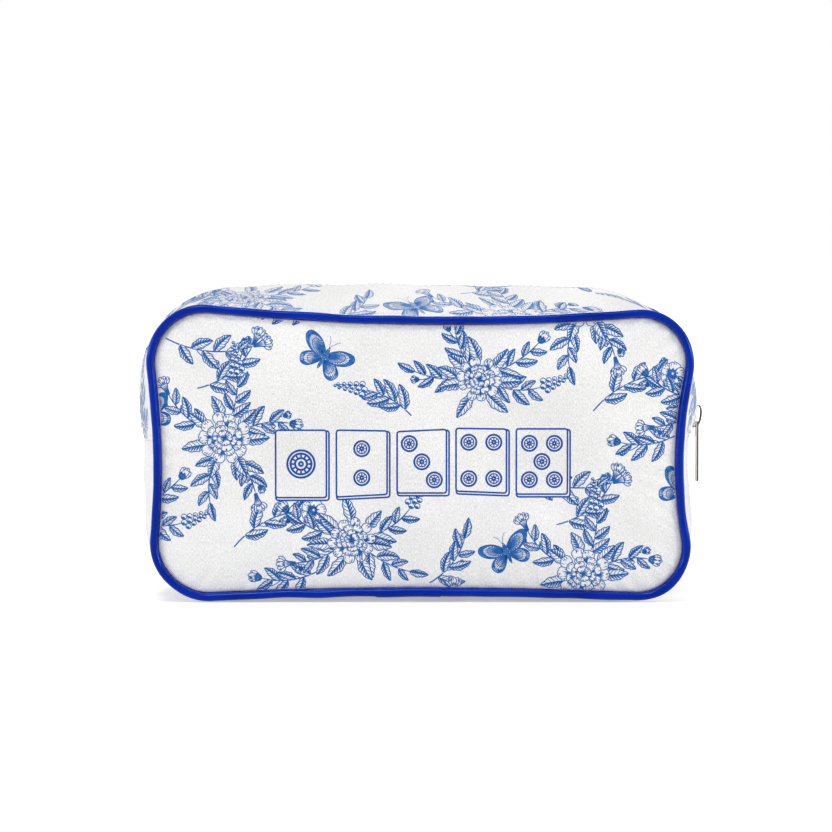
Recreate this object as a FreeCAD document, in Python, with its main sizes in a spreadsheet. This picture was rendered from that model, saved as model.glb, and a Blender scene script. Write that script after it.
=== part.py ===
import FreeCAD
import Part
import math
import os
import Sketcher

# A boxy zip bag for mahjong tiles, in millimetres. X runs to the right seen from the front,
# the front panel faces -Y, and Z is up. The origin is on the floor under the middle of the bag.
# Two padded panels are joined by a padded gusset, and a piping runs round each joining seam.

DOC = FreeCAD.newDocument("TileBag")
SHEET = DOC.addObject("Spreadsheet::Sheet", "Sizes")

SIZES = [
    # The seam line is the middle of the piping, the same for the front and the back panel.
    ("bag_depth", 80.0, "front seam plane to back seam plane"),
    ("seam_half_top", 118.9, "bag middle to the seam at the top corners"),
    ("seam_taper", 1.5, "how much nearer to the middle the seam is at the bottom corners"),
    ("seam_top_left", 129.1, "height of the seam at the top left corner"),
    ("seam_slope", 2.2, "how much lower the seam is at the top right corner"),
    ("seam_corner_left", 24.0, "corner radius of the seam, left corners"),
    ("seam_corner_right", 22.0, "corner radius of the seam, right corners"),
    ("seam_draw_left", 2.15, "how far the left side is drawn in"),
    ("seam_draw_right", 3.85, "how far the right side is drawn in"),
    ("seam_dip_top", 4.1, "how far the top edge dips"),
    ("seam_lift_bottom", 2.05, "how far the bottom edge lifts"),
    # The gusset bulges past the seam line by these amounts half way to the back.
    ("bulge_left", 6.5, "left side, at the top corner"),
    ("bulge_left_low", 6.8, "left side, at the bottom corner"),
    ("bulge_right", 3.6, "right side, at the top corner"),
    ("bulge_right_low", 5.1, "right side, at the bottom corner"),
    ("bulge_top_left", 8.8, "top, at the left corner"),
    ("bulge_top_right", 10.1, "top, at the right corner"),
    ("bulge_floor", 2.8, "bottom, before the floor flattens it"),
    ("crest_corner_left", 45.5, "corner radius of the gusset's crest, top left"),
    ("crest_corner_right", 49.5, "corner radius of the gusset's crest, top right"),
    ("crest_corner_low", 35.5, "corner radius of the gusset's crest, bottom"),
    ("crest_draw_left", 0.4, "how far the crest is drawn in on the left"),
    ("crest_draw_right", 2.1, "how far the crest is drawn in on the right"),
    ("crest_crown_top", 0.9, "how far the crest rises along the top"),
    ("crest_sag_floor", 0.3, "how far the crest sags along the bottom"),
    # Fabrics and the gaps between them.
    ("piping_diameter", 3.6, "outside of the piping"),
    ("vinyl_thickness", 0.55, "piping cover"),
    ("cord_gap", 0.05, "piping cover to its filler cord"),
    ("edge_gap", 0.15, "piping to the cut edge of a panel or gusset"),
    ("lap_thickness", 0.12, "lapped end of the piping cover"),
    ("lap_length", 30.0, "lapped end of the piping cover, along the seam"),
    ("lap_middle", -5.0, "bag middle to the middle of the lap"),
    ("canvas_sink", 0.5, "outer face of the canvas below the middle of the piping, at the seam"),
    ("canvas_thickness", 0.9, "outer canvas"),
    ("padding_thickness", 2.4, "wadding behind the canvas"),
    ("lining_thickness", 0.5, "lining"),
    ("layer_gap", 0.2, "between two layers of fabric"),
    ("padding_setback", 5.7, "seam line to the edge of the wadding"),
    ("lining_setback", 6.8, "seam line to the edge of the lining"),
    ("crown_height", 3.0, "how far the middle of a panel stands forward of its edge"),
    ("crown_reach", 40.0, "seam line to the flat middle of the panel"),
    # The seam allowance inside the bag.
    ("flange_thickness", 0.4, "vinyl flange of the piping, in the seam"),
    ("flange_reach", 4.4, "seam line to the inner edge of the flange, along each wall"),
    ("binding_thickness", 1.6, "bias tape round the raw edges"),
    ("binding_width", 5.0, "bias tape, along the seam allowance"),
    # The zip lies along the crest of the gusset, over the top and down both sides.
    ("join_margin", 1.8, "top stops to the cross seams where the zip strips meet the lower gusset"),
    ("slot_half", 4.8, "zip middle to the folded edge of a zip strip"),
    ("lining_slot_half", 6.2, "zip middle to the folded edge of the strip's lining"),
    ("tape_half", 15.0, "zip middle to the edge of the tape"),
    ("tape_thickness", 0.6, "zip tape"),
    ("tape_drop", 0.15, "inside of the canvas to the tape"),
    ("chain_gap_half", 0.35, "zip middle to the flank of each coil"),
    ("coil_width", 2.8, "one coil"),
    ("coil_stand", 0.75, "coil above the outer face of the canvas"),
    ("coil_gap", 0.05, "coil to the tape"),
    ("coil_rise", 7.0, "cross seam to the end of the coils, on the left side"),
    ("stop_length", 2.2, "each zip stop, along the zip"),
    ("stop_proud", 0.35, "each zip stop, beyond the coil"),
    ("stop_gap", 0.15, "zip stop to the end of the coil"),
    # The slider is at the closed end of the zip, on the right side.
    ("slider_drop", 8.7, "degrees from the middle of the corner's bend down to the slider"),
    ("slider_length", 11.0, "slider body"),
    ("slider_width", 8.4, "slider body"),
    ("slider_plate", 1.2, "thickness of the two plates"),
    ("slider_corner", 2.4, "rounded corners of the plates"),
    ("slider_gap", 0.3, "slider to the coil and to the tape"),
    ("flange_wall", 0.6, "side walls of the slider's outer plate"),
    ("flange_depth", 1.3, "side walls, towards the tape"),
    ("neck_half", 0.2, "neck that joins the plates, half its width"),
    ("neck_length", 2.4, "neck, along the zip"),
    ("neck_offset", 4.2, "slider middle to the front of the neck"),
    ("bridge_span", 9.8, "bridge that holds the pull tab, along the zip"),
    ("bridge_width", 2.2, "bridge, across the zip"),
    ("bridge_bar", 1.05, "thickness of the bridge"),
    ("bridge_clear", 2.0, "room under the bridge"),
    ("bridge_round", 1.3, "outer corners of the bridge"),
    ("tab_length", 27.0, "pull tab, top to bottom"),
    ("tab_width", 5.8, "pull tab"),
    ("tab_thickness", 1.3, "pull tab"),
    ("tab_window_half", 1.7, "half width of the window round the bridge"),
    ("tab_window_length", 5.6, "length of the window round the bridge"),
    ("tab_bar", 1.3, "bar of the pull tab that the bridge holds"),
    ("tab_offset", 2.9, "slider middle to the bar"),
    ("tab_slot_length", 12.0, "pressed slot in the lower part of the tab"),
    ("tab_slot_half", 0.9, "half width of the pressed slot"),
    ("tab_slot_depth", 0.25, "depth of the pressed slot"),
    ("tab_round", 1.4, "corners of the pull tab"),
    ("edge_round", 0.25, "broken edges of the metal parts"),
]

CROWN_STEPS = 4
FAR = 300.0  # beyond the bag in every direction
NEAR = 1e-6  # two coordinates that close are the same
PARALLEL = 0.99  # cosine above which an edge runs along an axis


def fill_sheet():
    for row, (alias, size, words) in enumerate(SIZES, start=1):
        SHEET.set(f"A{row}", words)
        SHEET.set(f"B{row}", str(size))
        SHEET.setAlias(f"B{row}", alias)
    DOC.recompute()


def value(expression):
    return float(SHEET.evalExpression(expression))


def size(alias):
    return f"Sizes.{alias}"


def bind(thing, prop, expression):
    thing.setExpression(prop, expression)


# Places that several pieces share, as expressions on the sheet.
SEAM_HALF_LOW = "(Sizes.seam_half_top - Sizes.seam_taper)"
SEAM_TOP_RIGHT = "(Sizes.seam_top_left - Sizes.seam_slope)"
SEAM_Y = "(Sizes.bag_depth / 2)"
PIPING_RADIUS = "(Sizes.piping_diameter / 2)"
SKIN_SETBACK = "(Sizes.piping_diameter / 2 + Sizes.edge_gap)"
CANVAS_IN = "(Sizes.canvas_sink + Sizes.canvas_thickness)"
PADDING_OUT = f"({CANVAS_IN} + Sizes.layer_gap)"
PADDING_IN = f"({PADDING_OUT} + Sizes.padding_thickness)"
LINING_OUT = f"({PADDING_IN} + Sizes.layer_gap)"
LINING_IN = f"({LINING_OUT} + Sizes.lining_thickness)"
COIL_OUT = "(Sizes.canvas_sink - Sizes.coil_stand)"
TAPE_OUT = f"({CANVAS_IN} + Sizes.tape_drop)"
TAPE_IN = f"({TAPE_OUT} + Sizes.tape_thickness)"
COIL_IN = f"({TAPE_OUT} - Sizes.coil_gap)"

# The crest's top right corner, which the slider follows.
BEND_X = "(Sizes.seam_half_top + Sizes.bulge_right - Sizes.crest_corner_right)"
BEND_Z = f"({SEAM_TOP_RIGHT} + Sizes.bulge_top_right - Sizes.crest_corner_right)"


def bend_radius(inset):
    return f"(Sizes.crest_corner_right - ({inset}))"


# The slider turns with the crest's bend, so its pieces are drawn in a frame at the bend's
# centre: X away from the centre, Z along the zip, and the whole turned down by slider_drop.
PLATE_OUT_IN = f"({bend_radius(COIL_OUT)} + Sizes.slider_gap)"
PLATE_OUT_OUT = f"({PLATE_OUT_IN} + Sizes.slider_plate)"
PLATE_IN_OUT = (f"(sqrt(({bend_radius(TAPE_IN)} - Sizes.slider_gap) ^ 2"
                " - (Sizes.slider_length / 2) ^ 2))")
PLATE_IN_IN = f"({PLATE_IN_OUT} - Sizes.slider_plate)"
STOP_TOP = (f"({BEND_Z} - {PLATE_OUT_OUT} * sin(Sizes.slider_drop)"
            " - Sizes.slider_length / 2 * cos(Sizes.slider_drop) - Sizes.slider_gap)")
COIL_END_RIGHT = f"({STOP_TOP} + Sizes.stop_gap)"
GUSSET_JOIN = f"({STOP_TOP} - Sizes.stop_length - Sizes.join_margin)"
COIL_END_LEFT = f"({GUSSET_JOIN} + Sizes.coil_rise)"


def fullness(reach):
    """Share of the gusset's bulge at a distance from the middle of its depth."""
    return f"(1 - (2 * ({reach}) / Sizes.bag_depth) ^ 2)"


def gusset_outline(share, inset):
    """Extents, corner radii and drawn-in sides of the gusset at a share of its bulge."""

    def grown(seam, bulge):
        return f"({seam} + {size(bulge)} * {share} - ({inset}))"

    def between(seam, crest):
        return f"({size(seam)} * (1 - {share}) + ({crest}) * {share})"

    return {
        "left_top": "-" + grown(size("seam_half_top"), "bulge_left"),
        "left_low": "-" + grown(SEAM_HALF_LOW, "bulge_left_low"),
        "right_top": grown(size("seam_half_top"), "bulge_right"),
        "right_low": grown(SEAM_HALF_LOW, "bulge_right_low"),
        "top_left": grown(size("seam_top_left"), "bulge_top_left"),
        "top_right": grown(SEAM_TOP_RIGHT, "bulge_top_right"),
        "bottom": f"({PIPING_RADIUS} - Sizes.bulge_floor * {share} + ({inset}))",
        "round_top_left": between("seam_corner_left", size("crest_corner_left")) + f" - ({inset})",
        "round_top_right": between("seam_corner_right", size("crest_corner_right")) + f" - ({inset})",
        "round_low_left": between("seam_corner_left", size("crest_corner_low")) + f" - ({inset})",
        "round_low_right": between("seam_corner_right", size("crest_corner_low")) + f" - ({inset})",
        "draw_left": between("seam_draw_left", size("crest_draw_left")),
        "draw_right": between("seam_draw_right", size("crest_draw_right")),
        "draw_top": between("seam_dip_top", "-" + size("crest_crown_top")),
        "draw_bottom": between("seam_lift_bottom", "-" + size("crest_sag_floor")),
    }


def panel_outline(inset, ease, corner_inset=SKIN_SETBACK):
    """Outline of a panel at an inset from the seam, with its corners and sides eased."""
    keep = f"(1 - {ease})"
    return {
        "left_top": f"-(Sizes.seam_half_top - ({inset}))",
        "left_low": f"-({SEAM_HALF_LOW} - ({inset}))",
        "right_top": f"(Sizes.seam_half_top - ({inset}))",
        "right_low": f"({SEAM_HALF_LOW} - ({inset}))",
        "top_left": f"(Sizes.seam_top_left - ({inset}))",
        "top_right": f"({SEAM_TOP_RIGHT} - ({inset}))",
        "bottom": f"({PIPING_RADIUS} + ({inset}))",
        "round_top_left": f"(Sizes.seam_corner_left - {corner_inset}) * {keep}",
        "round_top_right": f"(Sizes.seam_corner_right - {corner_inset}) * {keep}",
        "round_low_left": f"(Sizes.seam_corner_left - {corner_inset}) * {keep}",
        "round_low_right": f"(Sizes.seam_corner_right - {corner_inset}) * {keep}",
        "draw_left": f"Sizes.seam_draw_left * {keep}",
        "draw_right": f"Sizes.seam_draw_right * {keep}",
        "draw_top": f"Sizes.seam_dip_top * {keep}",
        "draw_bottom": f"Sizes.seam_lift_bottom * {keep}",
    }


def corner_table(outline):
    """Centre and radius expressions of the four corners, anticlockwise from the bottom right."""
    return [
        (f"({outline['right_low']}) - ({outline['round_low_right']})",
         f"({outline['bottom']}) + ({outline['round_low_right']})", outline["round_low_right"]),
        (f"({outline['right_top']}) - ({outline['round_top_right']})",
         f"({outline['top_right']}) - ({outline['round_top_right']})", outline["round_top_right"]),
        (f"({outline['left_top']}) + ({outline['round_top_left']})",
         f"({outline['top_left']}) - ({outline['round_top_left']})", outline["round_top_left"]),
        (f"({outline['left_low']}) + ({outline['round_low_left']})",
         f"({outline['bottom']}) + ({outline['round_low_left']})", outline["round_low_left"]),
    ]


def side_radius(first, second, draw):
    """Radius expression of the side arc between two corners; it is concave where draw is above 0."""
    spacing = f"((({first[0]}) - ({second[0]})) ^ 2 + (({first[1]}) - ({second[1]})) ^ 2)"
    mean = f"((({first[2]}) + ({second[2]})) / 2)"
    if value(draw) > 0:
        return f"{spacing} / (8 * ({draw})) - {mean}", True
    return f"{spacing} / (8 * -({draw})) + {mean}", False


def side_centre(first, second, radius, concave):
    """Centre of the side arc, which touches both corner circles."""
    x1, z1, r1 = first
    x2, z2, r2 = second
    reach1 = radius + r1 if concave else radius - r1
    reach2 = radius + r2 if concave else radius - r2
    spacing = math.hypot(x2 - x1, z2 - z1)
    along = (reach1 ** 2 - reach2 ** 2 + spacing ** 2) / (2 * spacing)
    away = math.sqrt(reach1 ** 2 - along ** 2)
    ux, uz = (x2 - x1) / spacing, (z2 - z1) / spacing
    outward = 1 if concave else -1
    return x1 + ux * along + outward * uz * away, z1 + uz * along - outward * ux * away


def touch_angle(corner, side, concave):
    """Direction from a corner's centre to the point where the side arc touches it."""
    angle = math.atan2(side[1] - corner[1], side[0] - corner[0])
    return angle if concave else angle + math.pi


def add_arc(sketch, centre, radius, start, end):
    circle = Part.Circle(FreeCAD.Vector(centre[0], centre[1], 0), FreeCAD.Vector(0, 0, 1), radius)
    return sketch.addGeometry(Part.ArcOfCircle(circle, start, end), False)


def drive(sketch, constraint, expression):
    """Add a dimension and bind it to the sheet."""
    index = sketch.addConstraint(constraint)
    bind(sketch, f"Constraints[{index}]", expression)


def add_outline(name, y, outline):
    """Closed outline of nine tangent arcs in an upright plane: four corners and four sides,
    with the bottom side in two halves that meet under the middle of the bag."""
    sketch = DOC.addObject("Sketcher::SketchObject", name)
    upright = FreeCAD.Rotation(FreeCAD.Vector(1, 0, 0), 90)
    sketch.Placement = FreeCAD.Placement(FreeCAD.Vector(0, value(y), 0), upright)
    bind(sketch, "Placement.Base.y", y)

    corners = corner_table(outline)
    round_at = [(value(x), value(z), value(r)) for x, z, r in corners]
    draws = [outline["draw_right"], outline["draw_top"], outline["draw_left"], outline["draw_bottom"]]
    sides = []
    for index, draw in enumerate(draws):
        after = (index + 1) % 4
        expression, concave = side_radius(corners[index], corners[after], draw)
        centre = side_centre(round_at[index], round_at[after], value(expression), concave)
        sides.append((expression, concave, centre))

    corner_arcs = []
    for index, (x, z, radius) in enumerate(round_at):
        before = sides[index - 1]
        after = sides[index]
        start = touch_angle((x, z), before[2], before[1])
        end = touch_angle((x, z), after[2], after[1])
        while end <= start:
            end += 2 * math.pi
        while end - start > 2 * math.pi:
            end -= 2 * math.pi
        corner_arcs.append(add_arc(sketch, (x, z), radius, start, end))

    def meeting(index, side):
        """Angle on the side arc of the point where it touches a corner."""
        x, z, radius = round_at[index]
        angle = touch_angle((x, z), side[2], side[1])
        return math.atan2(z + radius * math.sin(angle) - side[2][1],
                          x + radius * math.cos(angle) - side[2][0])

    def side_arc(side, start, end):
        if side[1]:
            start, end = end, start
        while end <= start:
            end += 2 * math.pi
        return add_arc(sketch, side[2], value(side[0]), start, end)

    def join(side_index, side, corner_index, at_corner_end):
        """Make the side arc tangent to the corner arc where they meet."""
        runs_back = side[1]
        side_point = (2 if runs_back else 1) if at_corner_end else (1 if runs_back else 2)
        corner_point = 2 if at_corner_end else 1
        sketch.addConstraint(Sketcher.Constraint("Tangent", side_index, side_point,
                                                 corner_arcs[corner_index], corner_point))

    for index in range(3):
        side = sides[index]
        arc = side_arc(side, meeting(index, side), meeting(index + 1, side))
        join(arc, side, index, True)
        join(arc, side, index + 1, False)
        drive(sketch, Sketcher.Constraint("Radius", arc, value(side[0])), side[0])

    floor = sides[3]
    radius = value(floor[0])
    lean = math.asin(-floor[2][0] / radius)
    middle = math.pi / 2 - lean if floor[1] else lean - math.pi / 2
    left_half = side_arc(floor, meeting(3, floor), middle)
    right_half = side_arc(floor, middle, meeting(0, floor))
    join(left_half, floor, 3, True)
    join(right_half, floor, 0, False)
    drive(sketch, Sketcher.Constraint("Radius", left_half, radius), floor[0])
    left_point, right_point = (1, 2) if floor[1] else (2, 1)
    sketch.addConstraint(Sketcher.Constraint("Coincident", left_half, 3, right_half, 3))
    sketch.addConstraint(Sketcher.Constraint("Coincident", left_half, left_point, right_half, right_point))
    sketch.addConstraint(Sketcher.Constraint("PointOnObject", left_half, left_point, -2))

    for arc, (x, z, radius) in zip(corner_arcs, corners):
        drive(sketch, Sketcher.Constraint("Radius", arc, value(radius)), radius)
        drive(sketch, Sketcher.Constraint("DistanceX", -1, 1, arc, 3, value(x)), x)
        drive(sketch, Sketcher.Constraint("DistanceY", -1, 1, arc, 3, value(z)), z)
    return sketch


def add_loft(name, sections, ruled=False):
    loft = DOC.addObject("Part::Loft", name)
    loft.Sections = sections
    loft.Solid = True
    loft.Ruled = ruled
    return loft


def add_cut(name, base, tool):
    cut = DOC.addObject("Part::Cut", name)
    cut.Base = base
    cut.Tool = tool
    return cut


def add_fuse(name, shapes):
    fuse = DOC.addObject("Part::MultiFuse", name)
    fuse.Shapes = shapes
    return fuse


def add_common(name, base, tool):
    common = DOC.addObject("Part::Common", name)
    common.Base = base
    common.Tool = tool
    return common


def add_mirror(name, source):
    """The same piece on the back half of the bag."""
    mirror = DOC.addObject("Part::Mirroring", name)
    mirror.Source = source
    mirror.Base = (0, 0, 0)
    mirror.Normal = (0, 1, 0)
    return mirror


def add_box(name, low, high):
    """Box between two corners, each given as three expressions."""
    box = DOC.addObject("Part::Box", name)
    for axis, side, start, end in zip("xyz", ("Length", "Width", "Height"), low, high):
        bind(box, side, f"({end}) - ({start})")
        bind(box, f"Placement.Base.{axis}", f"({start})")
    return box


def add_gusset_layer(name, reach, outer_inset, inner_inset):
    """One layer of the gusset as a closed ring round the bag, between -reach and reach."""
    solids = []
    for side, inset in (("outer", outer_inset), ("inner", inner_inset)):
        front = add_outline(f"{name}_{side}_front", f"-({reach})", gusset_outline(fullness(reach), inset))
        crest = add_outline(f"{name}_{side}_crest", "0", gusset_outline("1", inset))
        back = add_outline(f"{name}_{side}_back", reach, gusset_outline(fullness(reach), inset))
        solids.append(add_loft(f"{name}_{side}", [front, crest, back]))
    return add_cut(f"{name}_ring", solids[0], solids[1])


def add_zip_layer(name, near, far, outer_inset, inner_inset):
    """One layer of the zip as a closed ring, between two distances in front of the zip's middle."""
    solids = []
    for side, inset in (("outer", outer_inset), ("inner", inner_inset)):
        sections = [add_outline(f"{name}_{side}_{place}", f"-({y})", gusset_outline(fullness(y), inset))
                    for place, y in (("far", far), ("near", near))]
        solids.append(add_loft(f"{name}_{side}", sections, ruled=True))
    return add_cut(f"{name}_ring", solids[0], solids[1])


def crown_depth(share):
    """How far forward of the seam plane a panel's face lies at a share of the crown."""
    return f"(Sizes.crown_height * (1 - (1 - {share}) ^ 2) - Sizes.canvas_sink)"


def crown_share(inset):
    """How far up the crown an inset from the seam lies: 0 at the panel's edge, 1 at its middle."""
    return f"(({inset} - {SKIN_SETBACK}) / (Sizes.crown_reach - {SKIN_SETBACK}))"


def add_crown_outline(name, y, inset):
    """Outline at an inset from the seam; its corners get tighter and its sides straighter inwards."""
    return add_outline(name, y, panel_outline(inset, f"({crown_share(inset)} / 2)"))


def add_crown_sections(name, first_inset, drop):
    """Outlines of a panel's crowned face, from its edge to its flat middle."""
    sections = []
    for step in range(CROWN_STEPS + 1):
        inset = f"({first_inset} + (Sizes.crown_reach - {first_inset}) * {step} / {CROWN_STEPS})"
        y = f"-({SEAM_Y} + {crown_depth(crown_share(inset))} - ({drop}))"
        sections.append(add_crown_outline(f"{name}_{step}", y, inset))
    return sections


def add_front_canvas():
    """Canvas of the front panel: a thin crowned shell with an upright edge."""
    crown = add_crown_sections("front_face", SKIN_SETBACK, "0")
    rim = add_outline("front_rim", f"-({SEAM_Y} - {CANVAS_IN})", panel_outline(SKIN_SETBACK, "0"))
    outside = add_loft("front_outside", [rim] + crown, ruled=True)
    inside = add_loft("front_inside", [rim] + crown, ruled=True)
    bind(inside, "Placement.Base.y", size("canvas_thickness"))
    return add_cut("front_panel", outside, inside)


def add_front_wadding():
    """Wadding of the front panel: flat inside, and crowned under the canvas."""
    drop = "Sizes.canvas_thickness + Sizes.layer_gap"
    setback = size("padding_setback")
    crown = add_crown_sections("front_pad", setback, drop)
    base = add_crown_outline("front_pad_base", f"-({SEAM_Y} - {PADDING_IN})", setback)
    return add_loft("front_wadding", [base] + crown, ruled=True)


def add_front_lining():
    outline = add_crown_outline("front_lining_outline", f"-({SEAM_Y} - {LINING_OUT})",
                                size("lining_setback"))
    lining = DOC.addObject("Part::Extrusion", "front_lining")
    lining.Base = outline
    lining.DirMode = "Custom"
    lining.Dir = (0, 1, 0)
    lining.Solid = True
    bind(lining, "LengthFwd", size("lining_thickness"))
    return lining


def add_profile(name):
    """Empty sketch across the bottom of the seam, in the plane of the bag's middle."""
    profile = DOC.addObject("Sketcher::SketchObject", name)
    across = FreeCAD.Rotation(FreeCAD.Vector(1, 1, 1), 120)
    seam_z = f"{PIPING_RADIUS} + Sizes.seam_lift_bottom"
    profile.Placement = FreeCAD.Placement(FreeCAD.Vector(0, -value(SEAM_Y), value(seam_z)), across)
    bind(profile, "Placement.Base.y", f"-{SEAM_Y}")
    bind(profile, "Placement.Base.z", seam_z)
    return profile


def add_sweep(name, spine, profile):
    sweep = DOC.addObject("Part::Sweep", name)
    sweep.Sections = [profile]
    sweep.Spine = (spine, [])
    sweep.Solid = True
    sweep.Frenet = False
    return sweep


def add_round_sweep(name, spine, radius):
    profile = add_profile(f"{name}_profile")
    circle = Part.Circle(FreeCAD.Vector(0, 0, 0), FreeCAD.Vector(0, 0, 1), value(radius))
    profile.addGeometry(circle, False)
    profile.addConstraint(Sketcher.Constraint("Coincident", 0, 3, -1, 1))
    drive(profile, Sketcher.Constraint("Radius", 0, value(radius)), radius)
    return add_sweep(name, spine, profile)


def add_polygon(sketch, points):
    """Closed polygon whose corners are driven by pairs of expressions."""
    places = [(value(x), value(y)) for x, y in points]
    lines = []
    for index, (x, y) in enumerate(places):
        after = places[(index + 1) % len(places)]
        lines.append(sketch.addGeometry(
            Part.LineSegment(FreeCAD.Vector(x, y, 0), FreeCAD.Vector(after[0], after[1], 0)), False))
    for index, line in enumerate(lines):
        before = lines[index - 1]
        sketch.addConstraint(Sketcher.Constraint("Coincident", before, 2, line, 1))
    for line, (x, y), (x_rule, y_rule) in zip(lines, places, points):
        drive(sketch, Sketcher.Constraint("DistanceX", -1, 1, line, 1, x), x_rule)
        drive(sketch, Sketcher.Constraint("DistanceY", -1, 1, line, 1, y), y_rule)


def add_diagonal_sweep(name, spine, start, end, thickness):
    """Strip that runs from the seam into the bag at 45 degrees, swept round the seam."""
    half = f"({thickness}) / 2 / sqrt(2)"
    points = [
        (f"{start} + {half}", f"{start} - {half}"),
        (f"{end} + {half}", f"{end} - {half}"),
        (f"{end} - {half}", f"{end} + {half}"),
        (f"{start} - {half}", f"{start} + {half}"),
    ]
    profile = add_profile(f"{name}_profile")
    add_polygon(profile, points)
    return add_sweep(name, spine, profile)


def add_piping():
    """Front piping: vinyl cover with its flange and lapped join, and the filler cord inside it."""
    spine = add_outline("front_seam", f"-{SEAM_Y}", panel_outline("0", "0", "0"))
    cord_space = f"({PIPING_RADIUS} - Sizes.vinyl_thickness)"
    skin = add_round_sweep("front_piping_skin", spine, PIPING_RADIUS)
    bore = add_round_sweep("front_piping_bore", spine, cord_space)
    cord = add_round_sweep("piping_cord_front", spine, f"{cord_space} - Sizes.cord_gap")
    root = f"({PIPING_RADIUS} - Sizes.vinyl_thickness / 2) / sqrt(2)"
    flange = add_diagonal_sweep("front_flange", spine, root, size("flange_reach"), size("flange_thickness"))

    lap = DOC.addObject("Part::Cylinder", "front_lap")
    lap.Placement.Rotation = FreeCAD.Rotation(FreeCAD.Vector(0, 1, 0), 90)
    bind(lap, "Radius", f"{PIPING_RADIUS} + Sizes.lap_thickness")
    bind(lap, "Height", size("lap_length"))
    bind(lap, "Placement.Base.x", "Sizes.lap_middle - Sizes.lap_length / 2")
    bind(lap, "Placement.Base.y", f"-{SEAM_Y}")
    bind(lap, "Placement.Base.z", f"{PIPING_RADIUS} + Sizes.seam_lift_bottom")
    vinyl = add_fuse("front_vinyl", [skin, flange, lap])
    cover = add_cut("piping_front", vinyl, bore)

    tape_start = f"({size('flange_reach')} + Sizes.edge_gap)"
    tape_end = f"({tape_start} + Sizes.binding_width / sqrt(2))"
    binding = add_diagonal_sweep("seam_binding_front", spine, tape_start, tape_end,
                                 size("binding_thickness"))
    return cover, cord, binding


def add_gusset_and_linings():
    """Lower gusset and the two zip strips, each of canvas, wadding and lining."""
    canvas = add_gusset_layer("canvas", f"({SEAM_Y} - {SKIN_SETBACK})", size("canvas_sink"), CANVAS_IN)
    wadding = add_gusset_layer("wadding", f"({SEAM_Y} - Sizes.padding_setback)", PADDING_OUT, PADDING_IN)
    lining = add_gusset_layer("lining", f"({SEAM_Y} - Sizes.lining_setback)", LINING_OUT, LINING_IN)
    lower = (f"-{FAR}", f"-{FAR}", "0"), (f"{FAR}", f"{FAR}", GUSSET_JOIN)
    pieces = []
    layers = (
        ("", canvas, size("slot_half")),
        ("_wadding", wadding, "(Sizes.tape_half + Sizes.layer_gap)"),
        ("_lining", lining, size("lining_slot_half")),
    )
    for suffix, ring, slot in layers:
        below = add_box(f"below_join{suffix}", *lower)
        above = add_box(f"above_join{suffix}", (f"-{FAR}", f"-{FAR}", GUSSET_JOIN),
                        (f"{FAR}", f"-{slot}", f"{FAR}"))
        pieces.append(add_common(f"lower_gusset{suffix}", ring, below))
        strip = add_common(f"zip_strip{suffix}_front", ring, above)
        pieces.append(strip)
        pieces.append(add_mirror(f"zip_strip{suffix}_back", strip))
    return pieces


def add_zip():
    """Tapes, coils and stops of the zip."""
    tape_ring = add_zip_layer("tape", size("chain_gap_half"), size("tape_half"), TAPE_OUT, TAPE_IN)
    above = add_box("above_join_tape", (f"-{FAR}", f"-{FAR}", GUSSET_JOIN),
                    (f"{FAR}", f"{FAR}", f"{FAR}"))
    tape = add_common("zip_tape_front", tape_ring, above)

    coil_far = "(Sizes.chain_gap_half + Sizes.coil_width)"
    coil_ring = add_zip_layer("coil", size("chain_gap_half"), coil_far, COIL_OUT, COIL_IN)
    left = add_box("coil_left", (f"-{FAR}", f"-{FAR}", COIL_END_LEFT), ("0", f"{FAR}", f"{FAR}"))
    right = add_box("coil_right", ("0", f"-{FAR}", COIL_END_RIGHT), (f"{FAR}", f"{FAR}", f"{FAR}"))
    coil = add_common("zip_coil_front", coil_ring, add_fuse("coil_reach", [left, right]))

    stop_far = f"({coil_far} + Sizes.stop_proud)"
    stop_out = f"({COIL_OUT} - Sizes.stop_proud)"
    top_ring = add_zip_layer("top_stop", size("chain_gap_half"), stop_far, stop_out, COIL_IN)
    top_zone = add_box("top_stop_zone", ("0", f"-{FAR}", f"{STOP_TOP} - Sizes.stop_length"),
                       (f"{FAR}", f"{FAR}", STOP_TOP))
    top_front = add_common("top_stop_front", top_ring, top_zone)
    top_back = add_mirror("top_stop_back", top_front)
    top_stops = DOC.addObject("Part::Compound", "zip_top_stops")
    top_stops.Links = [top_front, top_back]

    bottom_ring = add_zip_layer("bottom_stop", f"-{stop_far}", stop_far, stop_out, COIL_IN)
    stop_low = f"({COIL_END_LEFT} - Sizes.stop_gap)"
    bottom_zone = add_box("bottom_stop_zone", (f"-{FAR}", f"-{FAR}", f"{stop_low} - Sizes.stop_length"),
                          ("0", f"{FAR}", stop_low))
    bottom_stop = add_common("zip_bottom_stop", bottom_ring, bottom_zone)
    pieces = [tape, add_mirror("zip_tape_back", tape), coil, add_mirror("zip_coil_back", coil)]
    return pieces + [top_stops, bottom_stop]


def add_body(name, x, z, turn):
    """Body whose frame stands at a point of the bag's middle plane, turned about Y."""
    body = DOC.addObject("PartDesign::Body", name)
    spin = FreeCAD.Rotation(FreeCAD.Vector(0, 1, 0), value(turn))
    body.Placement = FreeCAD.Placement(FreeCAD.Vector(value(x), 0, value(z)), spin)
    bind(body, "Placement.Base.x", x)
    bind(body, "Placement.Base.z", z)
    if turn != "0":
        bind(body, "Placement.Rotation.Angle", turn)
    return body


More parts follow.
